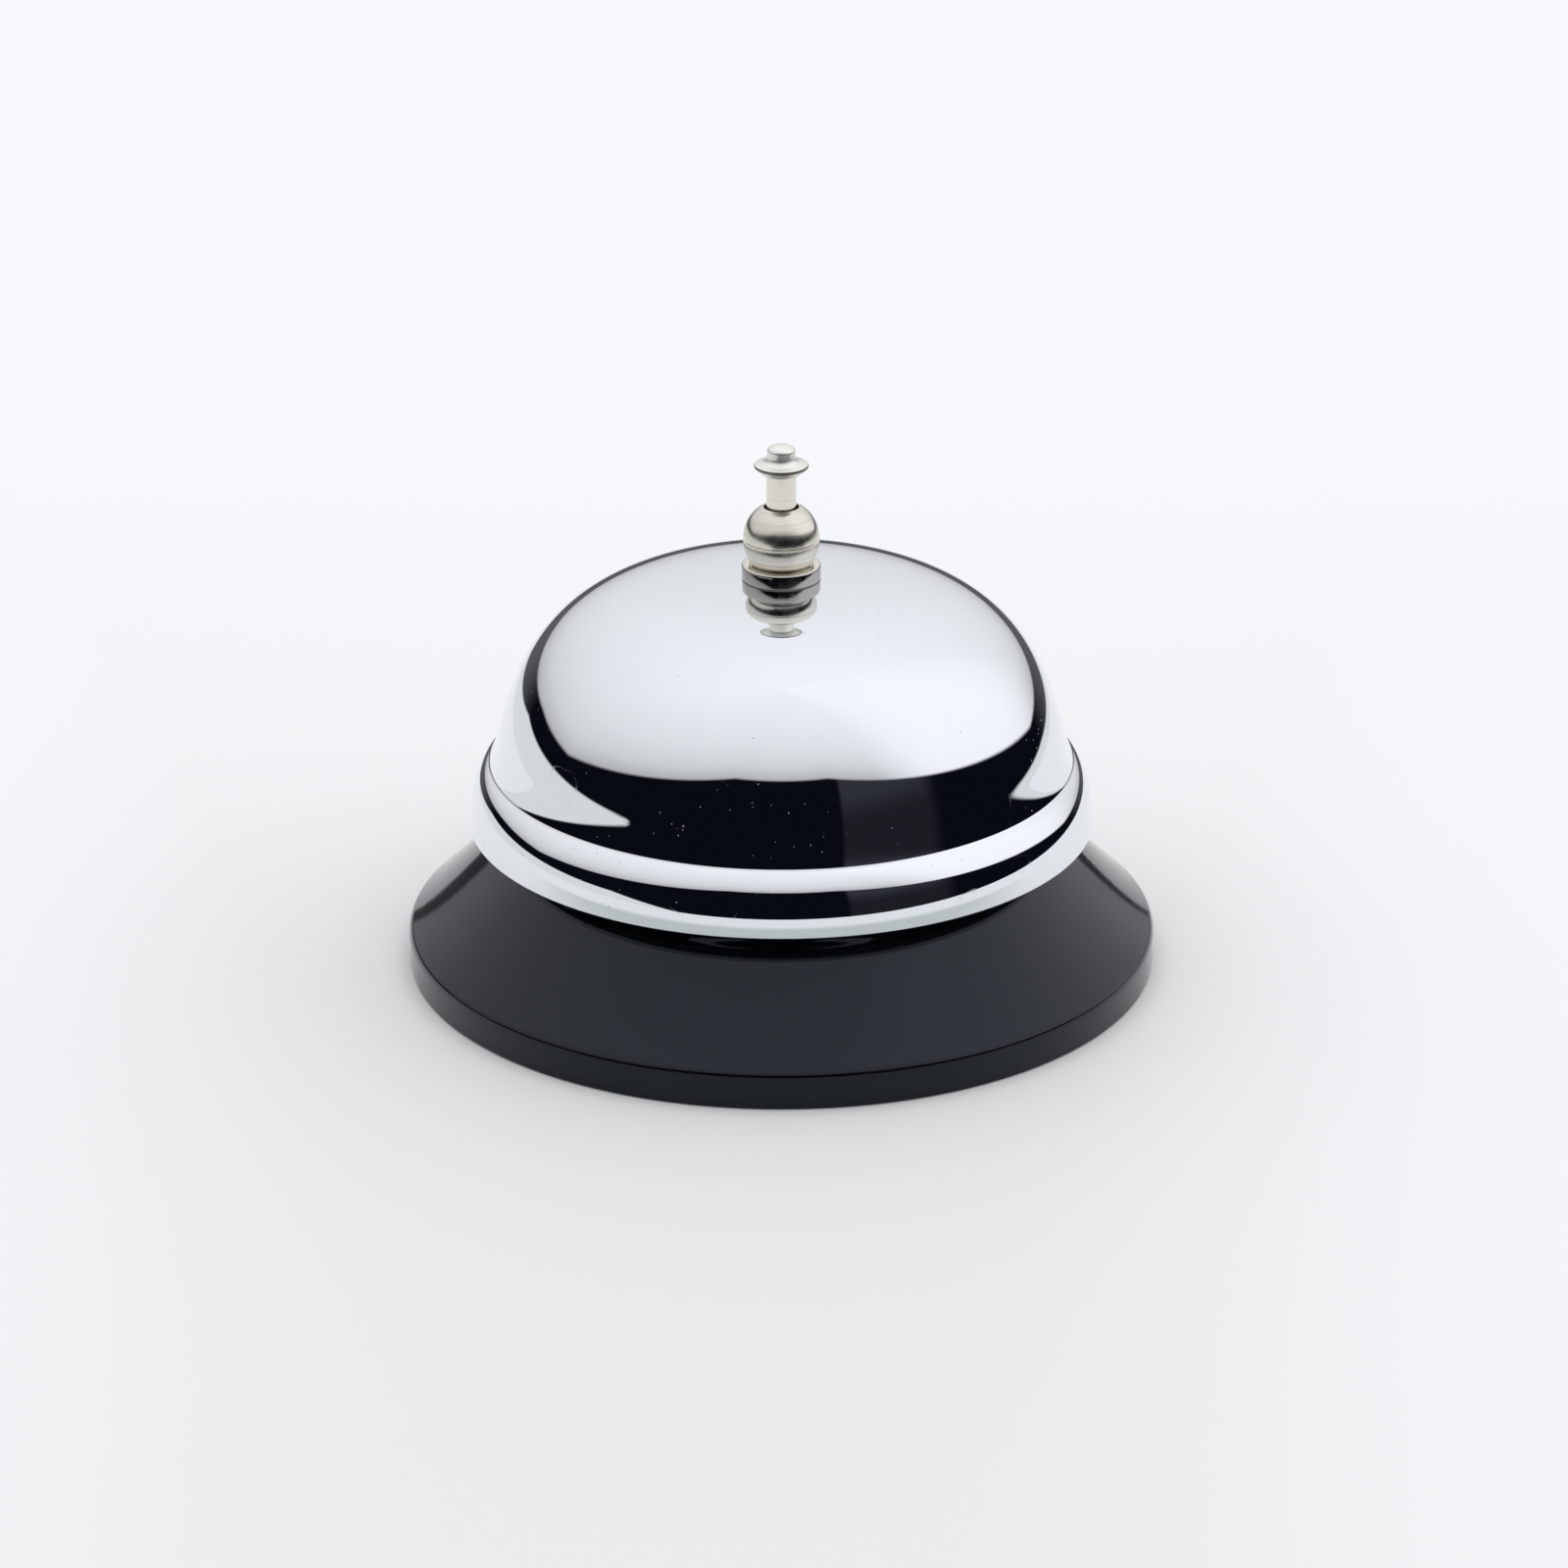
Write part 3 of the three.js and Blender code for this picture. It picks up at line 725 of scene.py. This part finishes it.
def makePostFixings():
    top = plateUnderside - seatGap
    bottom = top - washerSizes["thick"]
    outline = ringOutline(washerSizes["inner"], washerSizes["outer"], bottom, top, 0.18)
    addPiece(spun(outline, 96), "post_washer_plated", "zinc", "frame", "post_washer")
    s = hexSizes
    high = bottom - seatGap
    low = high - s["thick"]
    cone = s["chamfer"] * math.tan(math.radians(30))
    limits = [
        (s["bore"] + 0.4, low), (s["corner"] - s["chamfer"], low), (s["corner"] + 0.1, low + cone),
        (s["corner"] + 0.1, high - cone), (s["corner"] - s["chamfer"], high), (s["bore"] + 0.4, high),
        (s["bore"], high - 0.4), (s["bore"], low + 0.4),
    ]
    block = bmesh.new()
    bmesh.ops.create_cone(
        block, cap_ends=True, segments=6, radius1=s["corner"] * mm, radius2=s["corner"] * mm,
        depth=(high - low + 0.2) * mm,
    )
    middle = Matrix.Translation((0, 0, (high + low) / 2 * mm))
    moved(block, middle @ Matrix.Rotation(math.radians(30), 4, "Z"))
    bm = fitted(block, [("INTERSECT", spun(limits, 96))])
    addPiece(softened(bm, 0.08, 25), "post_hex_nut", "zinc", "frame", "post_nut", 20)
    s = bushSizes
    outline = ringOutline(s["inner"], s["outer"], s["bottom"], s["top"], 0.15)
    addPiece(spun(outline, 72), "rod_bush", "nylon", "frame", "guide_bush")
    s = seatWasherSizes
    outline = ringOutline(s["inner"], s["outer"], s["bottom"], s["top"], 0.12)
    addPiece(spun(outline, 96), "seat_washer", "fibre", "frame", "dome_seat_washer")


domeSizes = {
    "crownTop": 45.3, "capBase": 8.46, "capRadius": 33.2, "capPower": 3.2, "capEnd": 27.3,
    "creaseBend": (32.5, 24.75), "crease": (32.93, 23.8),
    "skirtBend": (34.7, 22.7), "skirtFall": (35.4, 19.8), "rim": (35.45, 17.15),
    "rimRound": 0.4, "wall": 1.0, "holeRadius": 2.75,
}


def capOutline(steps):
    # a superellipse from the crease up to the hole, so the crown is flat and the side full
    s = domeSizes
    power = 2 / s["capPower"]
    rise = s["crownTop"] - s["capBase"]
    endAngle = math.acos(((s["capEnd"] - s["capBase"]) / rise) ** (1 / power))
    holeAngle = math.asin((s["holeRadius"] / s["capRadius"]) ** (1 / power))
    points = []
    for k in range(steps + 1):
        angle = endAngle + (holeAngle - endAngle) * k / steps
        radius = s["capRadius"] * math.sin(angle) ** power
        points.append((radius, s["capBase"] + rise * math.cos(angle) ** power))
    return points


def makeDome():
    s = domeSizes
    cap = capOutline(70)
    skirt = bend([s["rim"], s["skirtFall"], s["skirtBend"], s["crease"]], 28)
    crease = bend([s["crease"], s["creaseBend"], cap[0]], 12)
    outer = skirt + crease[1:] + cap[1:]
    inner = inset(outer, s["wall"])[::-1]
    inner[0] = (s["holeRadius"], inner[0][1])
    rimBottom = s["rim"][1] - s["rimRound"]
    rim = rounded([
        inner[-1], (s["rim"][0] - s["wall"], rimBottom, s["rimRound"] * 0.9),
        (s["rim"][0], rimBottom, s["rimRound"] * 0.9), s["rim"],
    ])[1:-1]
    addPiece(spun(outer + inner + rim, 320), "gong_dome", "chrome", "frame", "bell_dome")


collarSizes = {
    "bottom": 45.32, "top": 47.0, "radius": 4.42, "holeRadius": 2.65, "recessRadius": 3.5,
    "recessFloor": 46.73, "edgeRound": 0.28,
}
nutSizes = {
    "bottom": 46.75, "neckRadius": 3.2, "ballRadius": 4.28, "equator": 49.95, "lowerRise": 4.6,
    "top": 53.7, "holeRadius": 1.95, "boreRadius": 2.6, "boreTop": 50.65, "grooveDepth": 0.12,
    "grooveHalf": 0.09, "footStep": 0.15,
}


def makeCollar():
    s = collarSizes
    outline = rounded([
        (s["holeRadius"], s["bottom"]), (s["radius"], s["bottom"], 0.1),
        (s["radius"], s["top"], s["edgeRound"]), (s["recessRadius"], s["top"], 0.08),
        (s["recessRadius"], s["recessFloor"], 0.08), (s["holeRadius"], s["recessFloor"]),
    ])
    addPiece(spun(outline, 160), "clamp_collar", "collar", "frame", "collar_ring")


def makeBallNut():
    s = nutSizes
    lowerTop = s["equator"] - s["grooveHalf"]
    lowerStart = math.asin((lowerTop - s["bottom"] - s["footStep"]) / s["lowerRise"])
    lower = []
    for k in range(17):
        angle = lowerStart * (1 - k / 16)
        lower.append((s["ballRadius"] * math.cos(angle), lowerTop - s["lowerRise"] * math.sin(angle)))
    upper = []
    upperStart = math.asin(s["grooveHalf"] / s["ballRadius"])
    upperEnd = math.asin((s["top"] - s["equator"]) / s["ballRadius"])
    for k in range(25):
        angle = upperStart + (upperEnd - upperStart) * k / 24
        upper.append((s["ballRadius"] * math.cos(angle), s["equator"] + s["ballRadius"] * math.sin(angle)))
    outline = [
        (s["boreRadius"], s["bottom"]), (s["neckRadius"], s["bottom"]), *lower,
        (s["ballRadius"] - s["grooveDepth"], s["equator"]), *upper,
        *rounded([upper[-1], (s["holeRadius"], s["top"], 0.12), (s["holeRadius"], s["boreTop"])])[1:],
        (s["boreRadius"], s["boreTop"]),
    ]
    addPiece(spun(outline, 160), "ball_clamp_nut", "ball", "frame", "ball_nut")


rodSizes = {
    "radius": 1.68, "bottom": 28.6, "shoulder": 57.5, "spigotRadius": 0.95, "top": 59.8,
    "grooveBottom": 40.45, "grooveTop": 41.25, "grooveRadius": 1.25,
}
buttonSizes = {
    "flangeRadius": 3.03, "undersideRadius": 2.1, "underside": 57.52, "bevelEdge": (2.92, 58.22),
    "edgeBottom": 58.34, "edgeTop": 58.6, "brim": [(2.3, 58.72), (1.7, 58.86)],
    "bossRadius": 1.58, "bossFoot": 59.5, "bossShoulder": 60.1, "crownBend": (1.54, 60.8),
    "top": 60.85, "spigotHole": 1.0, "holeTop": 59.9,
}
clipSizes = {
    "outer": 2.7, "inner": 1.28, "thick": 0.7, "lift": 0.05,
    "mouth": 0.5,  # half the opening's angle, radians
}


def makeRod():
    s = rodSizes
    outline = rounded([
        (0, s["bottom"]), (s["radius"], s["bottom"], 0.25),
        (s["radius"], s["grooveBottom"], 0.05), (s["grooveRadius"], s["grooveBottom"]),
        (s["grooveRadius"], s["grooveTop"]), (s["radius"], s["grooveTop"], 0.05),
        (s["radius"], s["shoulder"]), (s["spigotRadius"], s["shoulder"]),
        (s["spigotRadius"], s["top"]), (0, s["top"]),
    ])
    addPiece(spun(outline, 96), "push_rod", "nickel", "plunger", "plunger_rod")


def makeButton():
    s = buttonSizes
    outline = [
        (0, s["holeTop"]), (s["spigotHole"], s["holeTop"]), (s["spigotHole"], s["underside"]),
        (s["undersideRadius"], s["underside"]),
        *rounded([
            s["bevelEdge"], (s["flangeRadius"], s["edgeBottom"], 0.08),
            (s["flangeRadius"], s["edgeTop"], 0.12), s["brim"][0],
        ])[:-1],
        *bend([*s["brim"], (s["bossRadius"], s["bossFoot"])], 14),
        *bend([(s["bossRadius"], s["bossShoulder"]), s["crownBend"], (0, s["top"])], 14),
    ]
    addPiece(spun(outline, 160), "button_cap", "satin", "plunger", "push_button")


def makeClip():
    # an open ring: a flat section spun most of the way round
    s = clipSizes
    low = rodSizes["grooveBottom"] + s["lift"]
    high = low + s["thick"]
    section = [(s["inner"], low), (s["outer"], low), (s["outer"], high), (s["inner"], high)]
    bm = bmesh.new()
    verts = [bm.verts.new((x * mm, 0, z * mm)) for x, z in section]
    face = bm.faces.new(verts)
    bmesh.ops.rotate(bm, cent=(0, 0, 0), matrix=Matrix.Rotation(s["mouth"], 3, "Z"), verts=verts)
    bmesh.ops.spin(
        bm, geom=[face], cent=(0, 0, 0), axis=(0, 0, 1), dvec=(0, 0, 0),
        angle=2 * (math.pi - s["mouth"]), steps=48, use_merge=False, use_duplicate=False,
    )
    bmesh.ops.remove_doubles(bm, verts=bm.verts, dist=1e-7)
    bmesh.ops.recalc_face_normals(bm, faces=bm.faces)
    softened(bm, 0.06, 45)
    addPiece(bm, "rod_clip", "springSteel", "plunger", "plunger_clip")


springSizes = {"mean": 2.36, "wire": 0.28, "bottom": 32.05, "top": 40.45, "turns": 6.5, "stepsPerTurn": 30}


def makeSpring():
    s = springSizes
    steps = round(s["turns"] * s["stepsPerTurn"])
    rise = s["top"] - s["bottom"] - 2 * s["wire"]
    bm = bmesh.new()
    made = bmesh.ops.create_circle(bm, cap_ends=True, segments=12, radius=s["wire"] * mm)
    start = Matrix.Translation((s["mean"] * mm, 0, (s["bottom"] + s["wire"]) * mm))
    stand = start @ Matrix.Rotation(math.pi / 2, 4, "X")
    bmesh.ops.transform(bm, matrix=stand, verts=made["verts"])
    bmesh.ops.spin(
        bm, geom=bm.faces[:], cent=(0, 0, 0), axis=(0, 0, 1), dvec=(0, 0, rise / steps * mm),
        angle=2 * math.pi * s["turns"], steps=steps, use_merge=False, use_duplicate=False,
    )
    bmesh.ops.remove_doubles(bm, verts=bm.verts, dist=1e-7)
    bmesh.ops.recalc_face_normals(bm, faces=bm.faces)
    spring = addPiece(bm, "coil_spring", "springSteel", "frame", "return_spring", 60)
    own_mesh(spring)


bracketSizes = {
    "thick": 1.0, "earInner": 3.0, "plateMinX": 6.7, "plateMaxX": 14.2, "plateHalfWidth": 8.6,
    "earFootMinX": 6.9, "earFootMaxX": 12.9, "earTopRadius": 2.3, "earTurn": 0.25, "pinHole": 1.04,
    "rivetX": 11.2, "rivetY": 6.2, "cornerRound": 1.2,
}
rivetSizes = {"head": 1.5, "rise": 0.95, "shank": 0.85, "tail": 1.35, "tailDrop": 0.6}
pinSizes = {"radius": 1.0, "head": 1.7, "headThick": 0.6, "clipThick": 0.5, "clip": 2.1, "gap": 0.05}
padSizes = {"x": 21.0, "radius": 2.2, "top": 22.35, "stem": 0.9, "bulb": 1.5, "bulbDrop": 1.6}
strikerSizes = {
    "stroke": 3.6, "swing": 0.4248, "pivotX": 9.5, "pivotZ": 26.1, "armThick": 1.2, "armHalfWidth": 1.3,
    "hub": 1.9, "hubBore": 1.06, "hubHalfWidth": 2.85, "headReach": 17.4, "head": 2.6, "shank": 0.85,
    "eye": 2.2, "tail": 1.5, "tailHeight": 0.6, "seat": 0.03,
}
pivotPlace = Matrix.Translation((strikerSizes["pivotX"] * mm, 0, strikerSizes["pivotZ"] * mm))


def arc(centreX, centreZ, radius, start, end, steps):
    points = []
    for k in range(steps + 1):
        angle = start + (end - start) * k / steps
        points.append((centreX + radius * math.cos(angle), centreZ + radius * math.sin(angle)))
    return points


def makeBracket():
    s = bracketSizes
    low = plateTop + seatGap
    plate = bmesh.new()
    bmesh.ops.create_cube(plate, size=1.0)
    middleX = (s["plateMinX"] + s["plateMaxX"]) / 2
    middle = Matrix.Translation((middleX * mm, 0, (low + s["thick"] / 2) * mm))
    length = s["plateMaxX"] - s["plateMinX"]
    moved(plate, middle @ Matrix.Diagonal((length * mm, 2 * s["plateHalfWidth"] * mm, s["thick"] * mm, 1)))
    corners = [e for e in plate.edges if abs((e.verts[0].co - e.verts[1].co).z) > s["thick"] * mm / 2]
    bmesh.ops.bevel(
        plate, geom=corners, offset=s["cornerRound"] * mm, offset_type="OFFSET", affect="EDGES",
        segments=6, profile=0.5, material=-1,
    )
    x, z = strikerSizes["pivotX"], strikerSizes["pivotZ"]
    outline = [
        (s["earFootMinX"], low + 0.2), (s["earFootMaxX"], low + 0.2),
        *arc(x, z, s["earTopRadius"], s["earTurn"], math.pi - s["earTurn"], 20),
    ]
    near = upright(outline, -s["earInner"] - s["thick"], -s["earInner"])
    far = upright(outline, s["earInner"], s["earInner"] + s["thick"])
    pinDrill = moved(rod(s["pinHole"], -6, 6, 48), pivotPlace @ alongY)
    steps = [("UNION", near), ("UNION", far), ("DIFFERENCE", pinDrill)]
    for side in (-1, 1):
        hole = rod(baseSizes["rivetHole"], low - 1, low + 2, 32)
        steps.append(("DIFFERENCE", shifted(hole, s["rivetX"], side * s["rivetY"])))
    bm = softened(fitted(plate, steps), 0.1, 40)
    addPiece(bm, "pivot_bracket", "zinc", "frame", "striker_bracket", 25)


def makeRivets():
    s = rivetSizes
    seat = plateTop + 2 * seatGap + bracketSizes["thick"]
    tailTop = plateUnderside - seatGap
    outline = [
        *rounded([
            (0, tailTop - s["tailDrop"]), (s["tail"], tailTop - s["tailDrop"], 0.25), (s["tail"], tailTop),
            (s["shank"], tailTop), (s["shank"], seat), (s["head"], seat),
        ]),
        *bend([(s["head"], seat + 0.15), (s["head"], seat + s["rise"]), (0, seat + s["rise"])], 12),
    ]
    for side, name in ((1, "left"), (-1, "right")):
        bm = shifted(spun(outline, 64), bracketSizes["rivetX"], side * bracketSizes["rivetY"])
        addPiece(bm, "rivet_" + name, "zinc", "frame", "bracket_rivet_" + name)


def makePivot():
    s = pinSizes
    outer = bracketSizes["earInner"] + bracketSizes["thick"]
    headTop = -outer - s["gap"]
    end = outer + s["clipThick"] + 0.6
    outline = rounded([
        (0, headTop - s["headThick"]), (s["head"], headTop - s["headThick"], 0.2),
        (s["head"], headTop, 0.1), (s["radius"], headTop), (s["radius"], end, 0.2), (0, end),
    ])
    bm = moved(spun(outline, 64), pivotPlace @ alongY)
    addPiece(bm, "hinge_pin", "springSteel", "frame", "pivot_pin")
    low = outer + s["gap"]
    outline = ringOutline(s["radius"] + 0.03, s["clip"], low, low + s["clipThick"], 0.1)
    bm = moved(spun(outline, 64), pivotPlace @ alongY)
    addPiece(bm, "pin_clip", "springSteel", "frame", "pivot_clip")


def makeRestPad():
    s = padSizes
    below = plateUnderside - seatGap
    above = plateTop + seatGap
    outline = rounded([
        (0, below - s["bulbDrop"]), (0.5, below - s["bulbDrop"], 0.15), (s["bulb"], below - 0.4, 0.15),
        (s["bulb"], below), (s["stem"], below), (s["stem"], above), (s["radius"], above, 0.15),
        (s["radius"], s["top"], 0.4), (0, s["top"]),
    ])
    addPiece(shifted(spun(outline, 64), s["x"], 0), "silence_pad", "rubber", "frame", "rest_pad")


# the striker is drawn level along +X from its pivot, then tipped to its resting slope
leverPlace = pivotPlace @ Matrix.Rotation(strikerSizes["swing"] / 2, 4, "Y")


def makeStriker():
    s = strikerSizes
    half = s["armThick"] / 2
    tipReach = s["stroke"] / 2 / math.sin(s["swing"] / 2)
    outline = [
        (s["headReach"], half), *arc(-tipReach, 0, half, math.pi / 2, 1.5 * math.pi, 12),
        (s["headReach"], -half),
    ]
    bar = upright(outline, -s["armHalfWidth"], s["armHalfWidth"])
    hub = moved(rod(s["hub"], -s["hubHalfWidth"], s["hubHalfWidth"], 64), alongY)
    eye = shifted(rod(s["eye"], -half, half, 64), s["headReach"], 0)
    bore = moved(rod(s["hubBore"], -4, 4, 64), alongY)
    hole = shifted(rod(s["shank"] + 0.05, -2, 2, 32), s["headReach"], 0)
    bm = fitted(bar, [("UNION", hub), ("UNION", eye), ("DIFFERENCE", bore), ("DIFFERENCE", hole)])
    softened(bm, 0.12, 40)
    addPiece(moved(bm, leverPlace), "striker_lever", "zinc", "striker", "striker_arm", 25)
    seat = half + s["seat"]
    outline = [
        *rounded([
            (0, -seat - s["tailHeight"]), (s["tail"], -seat - s["tailHeight"], 0.3), (s["tail"], -seat),
            (s["shank"], -seat), (s["shank"], seat),
        ]),
        *arc(0, seat, s["head"], 0, math.pi / 2, 16)[:-1], (0, seat + s["head"]),
    ]
    bm = shifted(spun(outline, 64), s["headReach"], 0)
    moved(bm, leverPlace)
    addPiece(bm, "striker_button", "springSteel", "striker", "striker_head")


for make in (makeBase, makeFoot, makePost, makePostFixings):
    make()
print("base and post made")
for make in (makeDome, makeCollar, makeBallNut):
    make()
print("dome and its nut made")
for make in (makeRod, makeButton, makeClip, makeSpring):
    make()
print("plunger made")
for make in (makeBracket, makeRivets, makePivot, makeRestPad, makeStriker):
    make()
print("striker made")


floorLook = {
    # painted shadow colour in front of the bell
    "shadedNearColour": (0.855, 0.86, 0.855, 1.0),
    "farColour": (0.99, 0.985, 0.995, 1.0),
    "glow": 0.04,
    "mirroredShadedFront": (0.62, 0.655, 0.64, 1.0),  # painted shade: the floor in front, as the metal sees it
    "mirroredBack": (0.97, 0.98, 0.98, 1.0),
    "tableRadius": 0.20,  # how much of the floor shows in reflections, metres
}


def makeFloor():
    s = floorLook
    bm = bmesh.new()
    bmesh.ops.create_grid(bm, x_segments=1, y_segments=1, size=4.0)
    mesh = bpy.data.meshes.new("floor")
    bm.to_mesh(mesh)
    bm.free()
    floor = bpy.data.objects.new("floor", mesh)
    bpy.context.scene.collection.objects.link(floor)
    material, tree, shader, spot = startMaterial("floorPaper", Roughness=0.6, Specular_IOR_Level=0.2)
    shader.inputs["Emission Color"].default_value = (1.0, 1.0, 1.0, 1.0)
    shader.inputs["Emission Strength"].default_value = s["glow"]
    parts = addNode(tree, "ShaderNodeSeparateXYZ")
    tree.links.new(spot, parts.inputs[0])
    # painted shadow: the floor is darker in front of the bell and lighter further back and to the sides
    away = remap(tree, parts.outputs["Y"], -0.12, 0.25, 0.0, 1.0, True)
    aside = calc(tree, "ABSOLUTE", calc(tree, "ADD", parts.outputs["X"], 0.008))
    away = calc(tree, "MAXIMUM", away, remap(tree, aside, 0.02, 0.10, 0.0, 0.75, True))
    seen = mixColour(tree, away, s["shadedNearColour"], s["farColour"])
    distance = addNode(tree, "ShaderNodeVectorMath", operation="LENGTH")
    tree.links.new(spot, distance.inputs[0])
    # painted shade seen only in reflections: the floor in front of the bell is darker, the rest lit
    lit = remap(tree, parts.outputs["Y"], -0.06, 0.0, 0.0, 1.0, True)
    far = remap(tree, distance.outputs["Value"], 0.095, 0.115, 0.0, 1.0, True)
    lit = calc(tree, "MAXIMUM", lit, far)
    mirrored = mixColour(tree, lit, s["mirroredShadedFront"], s["mirroredBack"])
    outside = calc(tree, "GREATER_THAN", distance.outputs["Value"], s["tableRadius"])
    ray = addNode(tree, "ShaderNodeLightPath")
    colour = mixColour(tree, ray.outputs["Is Glossy Ray"], seen, mirrored)
    tree.links.new(colour, shader.inputs["Base Color"])
    gone = calc(tree, "MULTIPLY", outside, ray.outputs["Is Glossy Ray"])
    under = addNode(tree, "ShaderNodeNewGeometry")
    gone = calc(tree, "MAXIMUM", gone, under.outputs["Backfacing"])
    clear = addNode(tree, "ShaderNodeBsdfTransparent")
    pick = addNode(tree, "ShaderNodeMixShader")
    tree.links.new(gone, pick.inputs["Fac"])
    tree.links.new(shader.outputs["BSDF"], pick.inputs[1])
    tree.links.new(clear.outputs["BSDF"], pick.inputs[2])
    output = [node for node in tree.nodes if node.bl_idname == "ShaderNodeOutputMaterial"][0]
    tree.links.new(pick.outputs["Shader"], output.inputs["Surface"])
    mesh.materials.append(material)


studioLook = {
    "skyColour": (0.95, 0.955, 0.97, 1.0),  # what the camera sees past the floor
    "boxColour": (1.0, 1.01, 1.03, 1.0),  # the big soft box overhead
    "boxPower": 1.10,
    # height of the box's lower edge in degrees: level in front, then falling to the sides
    "frontEdge": 26.5, "levelUntil": 20.0, "sideFall": 0.26, "leftFloor": 6.5, "rightFloor": -0.5,
    "leftGain": 0.98, "rightGain": 1.06,
    # brightness from the lower edge (0) to 70 degrees above it (1)
    "boxFade": (
        (0.0, 0.42), (0.04, 0.54), (0.10, 0.66), (0.16, 0.73),
        (0.30, 0.81), (0.45, 0.86), (0.68, 0.91), (1.0, 0.96),
    ),
    "roomColour": (0.003, 0.004, 0.007, 1.0),
    "panelColour": (0.034, 0.036, 0.045, 1.0),
    "panelAzimuth": (23.0, 66.0),
    "backColour": (0.11, 0.115, 0.12, 1.0),
    "lowColour": (0.80, 0.825, 0.82, 1.0),  # pale surfaces beyond the table at the sides
    "lowLeft": (-25.0, -62.0, 0.0), "lowRight": (72.0, 100.0, -6.0),  # start, full width, top edge
}


def makeWorld():
    s = studioLook
    world = bpy.data.worlds.new("studio")
    bpy.context.scene.world = world
    world.use_nodes = True
    tree = world.node_tree
    tree.nodes.clear()
    place = addNode(tree, "ShaderNodeTexCoord")
    parts = addNode(tree, "ShaderNodeSeparateXYZ")
    tree.links.new(place.outputs["Generated"], parts.inputs[0])
    degrees = 180 / math.pi
    up = calc(tree, "MULTIPLY", calc(tree, "ARCSINE", parts.outputs["Z"]), degrees)
    # turn is 0 on the camera side and grows to the right
    toward = calc(tree, "MULTIPLY", parts.outputs["Y"], -1.0)
    turn = calc(tree, "MULTIPLY", calc(tree, "ARCTAN2", parts.outputs["X"], toward), degrees)
    aside = calc(tree, "ABSOLUTE", turn)

    past = calc(tree, "MAXIMUM", calc(tree, "SUBTRACT", aside, s["levelUntil"]), 0.0)
    edge = calc(tree, "MULTIPLY_ADD", past, -s["sideFall"], s["frontEdge"])
    sideways = calc(tree, "SINE", calc(tree, "DIVIDE", turn, degrees))
    lowest = remap(tree, sideways, -0.85, -0.3, s["leftFloor"], s["rightFloor"])
    lift = calc(tree, "SUBTRACT", up, calc(tree, "MAXIMUM", edge, lowest))
    inBox = remap(tree, lift, 0.0, 1.6, 0.0, 1.0, True)
    gain = addNode(tree, "ShaderNodeValToRGB")
    stops = s["boxFade"]
    while len(gain.color_ramp.elements) < len(stops):
        gain.color_ramp.elements.new(0.5)
    for element, (position, bright) in zip(gain.color_ramp.elements, stops):
        element.position = position
        element.color = (bright, bright, bright, 1.0)
    tree.links.new(remap(tree, lift, 0.0, 70.0), gain.inputs["Fac"])
    across = remap(tree, parts.outputs["X"], -0.9, 0.9, s["leftGain"], s["rightGain"])
    # to the right the box is lit evenly down to its edge
    evened = remap(tree, sideways, 0.6, 0.97, 0.0, 0.85, True)
    bright = mixValue(tree, evened, gain.outputs["Color"], 1.0)
    boxGain = calc(tree, "MULTIPLY", bright, across)

    inLow = None
    for start, full, top in (s["lowLeft"], s["lowRight"]):
        widening = remap(tree, turn, start, full, -9.0, top)
        widening = calc(tree, "MINIMUM", widening, remap(tree, aside, 130.0, 160.0, top, -8.0))
        below = remap(tree, calc(tree, "SUBTRACT", widening, up), 0.0, 1.0, 0.0, 1.0, True)
        inside = calc(tree, "LESS_THAN" if full < start else "GREATER_THAN", turn, start)
        part = calc(tree, "MULTIPLY", below, inside)
        inLow = part if inLow is None else calc(tree, "MAXIMUM", inLow, part)

    panelLeft = remap(tree, turn, s["panelAzimuth"][0], s["panelAzimuth"][0] + 2, 0.0, 1.0, True)
    panelRight = remap(tree, turn, s["panelAzimuth"][1] - 8, s["panelAzimuth"][1], 1.0, 0.0, True)
    panelHeight = remap(tree, up, 5.0, 20.0, 0.35, 1.0, True)
    inPanel = calc(tree, "MULTIPLY", calc(tree, "MULTIPLY", panelLeft, panelRight), panelHeight)
    onward = calc(tree, "COSINE", calc(tree, "DIVIDE", turn, degrees))
    behind = remap(tree, onward, -0.6, -0.95, 0.0, 1.0, True)
    colour = mixColour(tree, inPanel, s["roomColour"], s["panelColour"])
    colour = mixColour(tree, behind, colour, s["backColour"])
    colour = mixColour(tree, inLow, colour, s["lowColour"])
    boxColour = addNode(tree, "ShaderNodeVectorMath", operation="SCALE")
    boxColour.inputs[0].default_value = s["boxColour"][:3]
    tree.links.new(calc(tree, "MULTIPLY", boxGain, s["boxPower"]), boxColour.inputs["Scale"])
    colour = mixColour(tree, inBox, colour, boxColour.outputs[0])
    lit = addNode(tree, "ShaderNodeBackground")
    tree.links.new(colour, lit.inputs["Color"])
    seen = addNode(tree, "ShaderNodeBackground")
    seen.inputs["Color"].default_value = s["skyColour"]
    ray = addNode(tree, "ShaderNodeLightPath")
    pick = addNode(tree, "ShaderNodeMixShader")
    tree.links.new(ray.outputs["Is Camera Ray"], pick.inputs["Fac"])
    tree.links.new(lit.outputs["Background"], pick.inputs[1])
    tree.links.new(seen.outputs["Background"], pick.inputs[2])
    output = addNode(tree, "ShaderNodeOutputWorld")
    tree.links.new(pick.outputs["Shader"], output.inputs["Surface"])


makeFloor()
makeWorld()
bpy.context.scene.view_settings.view_transform = "Standard"
print("stage made")
